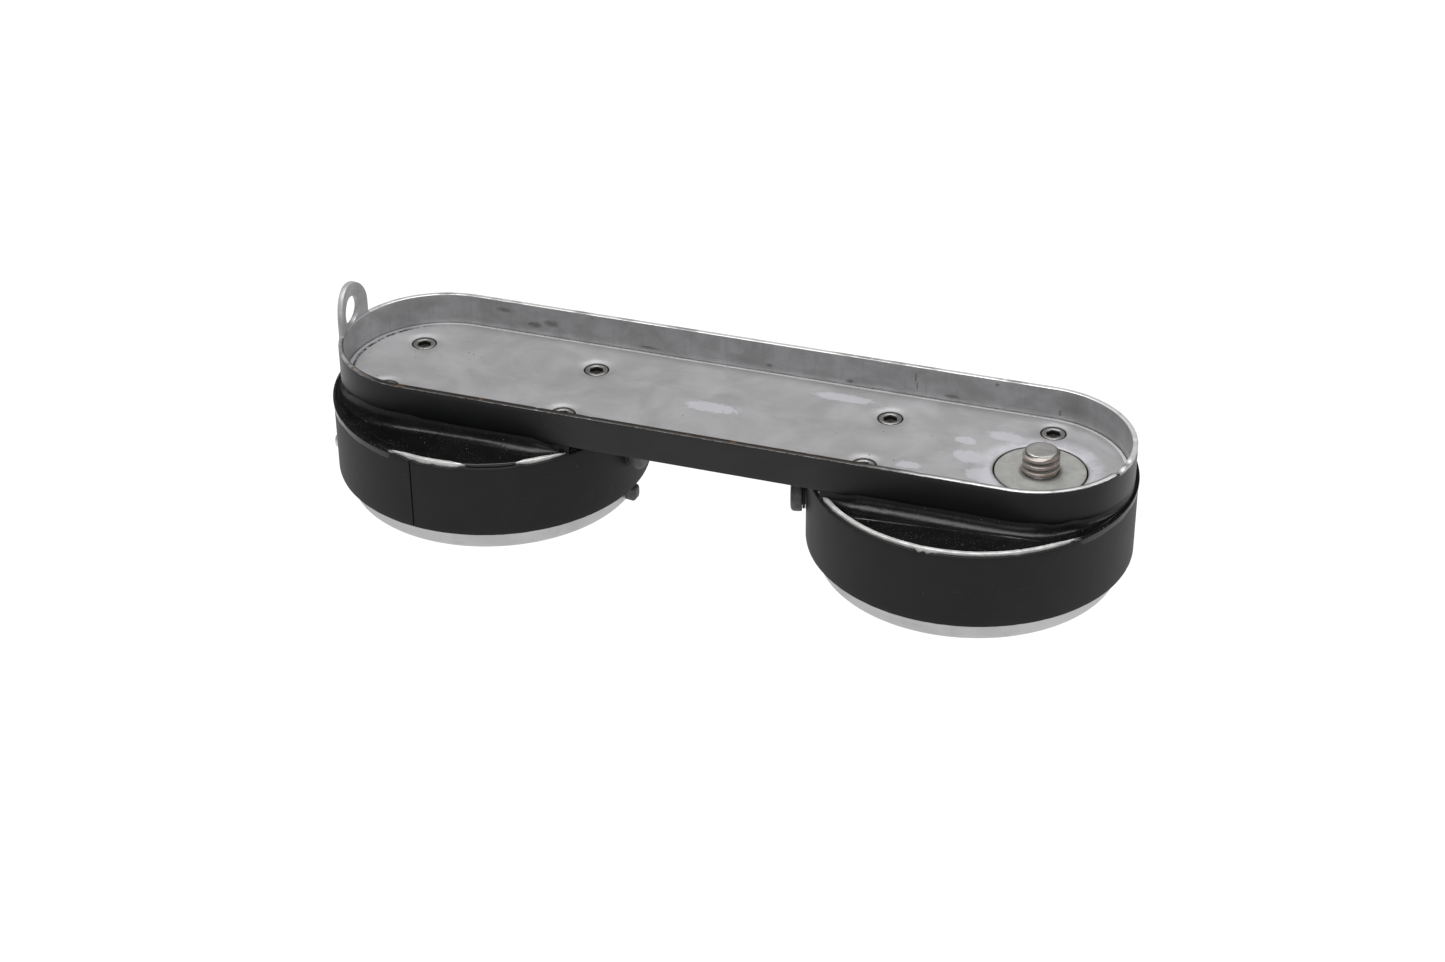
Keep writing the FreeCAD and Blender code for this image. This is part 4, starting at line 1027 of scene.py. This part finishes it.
                # a second soft fold in the filler, fading towards the inner end
                yr = -19.9 + (x + 66.0) * 0.035
                z += 0.10 * math.exp(-((y - yr) / 0.55) ** 2) * smooth((x + 68.5) / 3) * smooth((-28 - x) / 12)
            return z
        loop.append((0.0 - 0.05, BAND_LOW - 0.03))
        loop.append((-0.03, max(deck(0.0), ROOF + 0.1)))
        for f in range(1, 15):
            d = min(foot, D) * (f / 14.0) ** 1.15
            loop.append((d, deck(d)))
        if D > foot + 0.05:
            for f in range(1, 37):
                d = foot + (D - foot) * f / 36.0
                loop.append((d, deck(d)))
        else:
            for f in range(36):
                loop.append((D + 0.0004 * f, deck(D)))
        zl = loop[-1][1]
        out_by = 0.10 - 0.06 * end
        low = 0.30 + end * (0.75 + 0.25 * n3(px * 0.25, py * 0.25, 8.0))
        loop += [(D + out_by * 0.7, zl - 0.05), (D + out_by, zl - 0.18), (D + out_by * 0.4 - 0.03 * end, zl - low), (D - 0.35, zl - low - 0.04)]
        loop += [(-0.6, 16.55), (-0.6, BAND_LOW - 0.03)]
        for d, z in loop:
            verts.append((px + nx * d, py + ny * d, z))
        m = len(loop)
    faces = grid_faces(len(seq), m, False, True)
    faces.append(tuple(range(m)))
    faces.append(tuple(reversed(range((len(seq) - 1) * m, len(seq) * m))))
    ob = piece("saddle_lacquer_" + side, verts, faces, "tank", "gloss", 60.0)
    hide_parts("saddle_" + side)

    # Lid.
    prof = [(0, 0.12), (3.0, 0.12), (20.8, 0.12), (21.4, 0.10), (21.8, 0.0), (24.9, 0.0), (25.22, 0.05), (25.36, 0.2), (R_LID, 0.42),
            (R_LID, 1.2), (R_LID, 2.2), (R_LID, 3.3), (R_LID, 4.3), (R_LID, 5.15), (25.33, 5.22), (24.52, 5.2), (24.5, 6.6), (25.33, 6.58),
            (R_LID, 6.66), (R_LID, 7.7), (25.28, 7.9), (25.08, 8.0), (24.1, 8.0), (23.92, 7.9), (23.9, 7.7), (23.9, 1.6), (23.75, 1.3), (23.4, 1.2), (12.0, 1.2), (0, 1.2)]

    def lidshape(t, r, z):
        if r > 25.0 and 0.1 < z < 5:
            r += 0.012 * n3(math.cos(t) * 6, math.sin(t) * 6, z * 0.8 + sign)
        return r, z
    ob = solid_turn("lid_cup_" + side, prof, cx, 0, "lid_" + side, "lid", 300, lidshape)
    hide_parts("lid_" + side)
    prof = rounded([(24.53, 5.3), (26.03, 5.3), (26.03, 6.5), (24.53, 6.5)], [0.1, 0.45, 0.45, 0.1], 5)
    ob = revolve("lid_gasket_ring_" + side, prof, cx, 0, "lid_" + side, "rubber", 220, None)
    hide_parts("lid_gasket_" + side)

    # Lid tab: a small rounded block.
    tab_angle = math.radians(-5.0 if side == "left" else 60.0)
    verts, faces = [], []
    nu, nv = 32, 13
    for i in range(nu):
        t = 2 * math.pi * i / nu
        for j in range(nv):
            p = -math.pi / 2 + math.pi * j / (nv - 1)
            c, s = math.cos(p), math.sin(p)

            def sup(v, e):
                return math.copysign(abs(v) ** e, v)
            x = 1.12 * sup(c, 0.45) * sup(math.cos(t), 0.5)
            y = 1.18 * sup(c, 0.45) * sup(math.sin(t), 0.5)
            z = 1.33 * sup(s, 0.45)
            f = 1 + 0.05 * n3(x, y, z, 4)
            rr = 26.52 + x * f
            cc, ss = math.cos(tab_angle), math.sin(tab_angle)
            verts.append((cx + rr * cc - y * f * ss, rr * ss + y * f * cc, 1.95 + z * f))
    faces = grid_faces(nu, nv, True, False)
    ob = piece("lid_tab_block_" + side, verts, faces, "lid_" + side, "trim", 50.0)
    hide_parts("lid_tab_" + side)

    # Side rivet: a low dome.
    ra = math.radians(202.0 if side == "left" else 22.0)
    rot = Matrix.Rotation(ra, 3, "Z") @ Matrix.Rotation(math.pi / 2, 3, "Y")

    def rivet_place(v):
        w = rot @ Vector(v)
        return (cx + w.x, w.y, 7.0 + w.z)
    prof = [(0, 26.95), (0.9, 26.95), (1.08, 27.2), (1.1, 27.5), (1.04, 27.68), (0.85, 27.84), (0.55, 27.95), (0.25, 27.995), (0, 28.0)]
    ob = solid_turn("side_rivet_head_" + side, prof, 0, 0, "tank", "rivet", 40, None, 40.0, rivet_place)
    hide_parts("side_rivet_" + side)

    # Drain: bush, washer and plug along one radial line.
    da = math.radians(-8.0 if side == "left" else 197.0)
    rot2 = Matrix.Rotation(da, 3, "Z") @ Matrix.Rotation(math.pi / 2, 3, "Y")

    def drain_place(v):
        w = rot2 @ Vector(v)
        return (cx + w.x, w.y, 11.0 + w.z)
    prof = rounded([(1.56, 25.3), (2.15, 25.3), (2.15, 27.5), (1.56, 27.5)], [0.05, 0.08, 0.05, 0.1], 3)
    ob = revolve("drain_bush_ring_" + side, prof, 0, 0, "tank", "trim", 72, None, 40.0, drain_place)
    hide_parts("drain_bush_" + side)
    prof = rounded([(1.56, 27.56), (2.15, 27.56), (2.15, 28.01), (1.56, 28.01)], [0.08, 0.16, 0.16, 0.08], 4)
    ob = revolve("drain_washer_ring_" + side, prof, 0, 0, "drain_plug_" + side, "rubber", 72, None, 40.0, drain_place)
    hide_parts("drain_washer_" + side)
    knob = [(0, 24.9), (1.2, 24.9), (1.42, 25.02), (1.5, 25.2)]
    for z in (25.7, 26.6, 27.4):
        knob += [(1.5, z - 0.16), (1.42, z - 0.06), (1.42, z + 0.06), (1.5, z + 0.16)]
    knob += [(1.5, 27.9), (1.52, 28.05), (2.40, 28.06), (2.53, 28.11), (2.59, 28.24), (2.6, 28.5), (2.6, 29.0), (2.58, 29.35), (2.50, 29.62), (2.34, 29.82),
             (2.05, 29.96), (1.6, 30.03), (0.9, 30.05), (0.4, 30.05), (0, 30.05)]

    def cast(t, r, zz):
        if r > 2.5 and 28.9 < zz < 30.4:
            r += 0.012 * n3(math.cos(t) * 5, math.sin(t) * 5, zz * 2.0 + sign)
        return r, zz
    ob = solid_turn("drain_plug_knob_" + side, knob, 0, 0, "drain_plug_" + side, "trim", 120, cast, 40.0, drain_place)
    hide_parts("drain_plug_" + side)


make_band()
make_floor()
make_screws()
make_stud()
for side, sign in (("left", -1), ("right", 1)):
    make_chamber(side, sign)

# CAD nodes whose shape is right keep it and take a worked material.
KEEP = {"chamber_roof_": "gloss", "roof_doubler_": "turned", "lid_stop_ring_": "turned", "spindle_": "turned",
        "spindle_clip_": "turned", "reel_hub_": "reel", "reel_flange_lower_": "reel", "reel_flange_upper_": "reel"}
for name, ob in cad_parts.items():
    if ob.hide_render:
        continue
    mat = "rubber" if name == "clamp_seal" else None
    for stem, m in KEEP.items():
        if name.startswith(stem) and name[len(stem):] in ("left", "right"):
            mat = m
    if mat is None:
        raise RuntimeError("no material for " + name)
    if not ob.material_slots:
        ob.data.materials.append(MAT[mat])
    for s in ob.material_slots:
        s.material = MAT[mat]

# ------------------------------------------------------------------ floor, light, camera
me = bpy.data.meshes.new("pale_floor")
S = 6.0
me.from_pydata([(-S, -S, -0.00002), (S, -S, -0.00002), (S, S, -0.00002), (-S, S, -0.00002)], [], [(0, 1, 2, 3)])
floor = bpy.data.objects.new("pale_floor", me)
scene.collection.objects.link(floor)
fm = bpy.data.materials.new("pale_floor")
fm.use_nodes = True
nt = fm.node_tree
nt.nodes.clear()
out = nt.nodes.new("ShaderNodeOutputMaterial")
mixn = nt.nodes.new("ShaderNodeMixShader")
tr = nt.nodes.new("ShaderNodeBsdfTransparent")
df = nt.nodes.new("ShaderNodeBsdfDiffuse")
df.inputs["Color"].default_value = (0.88, 0.90, 0.95, 1)
mixn.inputs[0].default_value = 0.05
nt.links.new(tr.outputs[0], mixn.inputs[1])
nt.links.new(df.outputs[0], mixn.inputs[2])
nt.links.new(mixn.outputs[0], out.inputs[0])
me.materials.append(fm)

world = bpy.data.worlds.new("studio")
scene.world = world
world.use_nodes = True
nt = world.node_tree
nt.nodes.clear()
out = nt.nodes.new("ShaderNodeOutputWorld")
bg = nt.nodes.new("ShaderNodeBackground")
lp = nt.nodes.new("ShaderNodeLightPath")
tc = nt.nodes.new("ShaderNodeTexCoord")
sx = nt.nodes.new("ShaderNodeSeparateXYZ")
nt.links.new(tc.outputs["Generated"], sx.inputs[0])
ramp = nt.nodes.new("ShaderNodeMapRange")
ramp.inputs["From Min"].default_value = -0.10
ramp.inputs["From Max"].default_value = 0.16
ramp.inputs["To Min"].default_value = 0.95
ramp.inputs["To Max"].default_value = 0.10
nt.links.new(sx.outputs[2], ramp.inputs["Value"])
mixw = nt.nodes.new("ShaderNodeMix")
mixw.data_type = "FLOAT"
nt.links.new(lp.outputs["Is Camera Ray"], mixw.inputs[0])
nt.links.new(ramp.outputs["Result"], mixw.inputs[2])
mixw.inputs[3].default_value = 1.12
nt.links.new(mixw.outputs[0], bg.inputs["Strength"])
bg.inputs["Color"].default_value = (1, 1, 1, 1)
nt.links.new(bg.outputs[0], out.inputs[0])


def softbox(name, loc, target, sx_, sy_, power, colour=(1, 1, 1)):
    li = bpy.data.lights.new(name, "AREA")
    li.shape = "RECTANGLE"
    li.size, li.size_y = sx_, sy_
    li.energy = power
    li.color = colour
    ob = bpy.data.objects.new(name, li)
    scene.collection.objects.link(ob)
    ob.location = loc
    ob.rotation_mode = "QUATERNION"
    ob.rotation_quaternion = (Vector(target) - Vector(loc)).to_track_quat("-Z", "Y")
    return ob


softbox("overhead_soft", (-0.03, 0.02, 0.62), (0, 0, 0), 0.55, 0.45, 4.6)
softbox("side_glow", (0.62, 0.16, 0.16), (0.04, 0, 0.012), 0.30, 0.30, 0.9)
softbox("front_fill", (0.10, -0.75, 0.42), (0, 0, 0.01), 0.5, 0.3, 1.12)

cam_data = bpy.data.cameras.new("photo_view")
cam = bpy.data.objects.new("photo_view", cam_data)
scene.collection.objects.link(cam)
scene.camera = cam
cam_data.sensor_fit = "HORIZONTAL"
cam_data.sensor_width = 36.0
cam_data.lens = 70.634
cam_data.clip_start, cam_data.clip_end = 0.02, 30
right = Vector((0.94637902, 0.32301824, -0.00509581))
up = Vector((-0.16535197, 0.49787866, 0.85133751))
back = -Vector((-0.27753464, 0.80484536, -0.52459362))
m = Matrix(((right.x, up.x, back.x), (right.y, up.y, back.y), (right.z, up.z, back.z)))
cam.rotation_mode = "QUATERNION"
cam.rotation_quaternion = m.to_quaternion()
cam.location = Vector((134.584, -392.404, 261.563)) * MM

scene.view_settings.view_transform = "Standard"
scene.view_settings.look = "None"
scene.view_settings.exposure = 0.0
scene.view_settings.gamma = 1.0
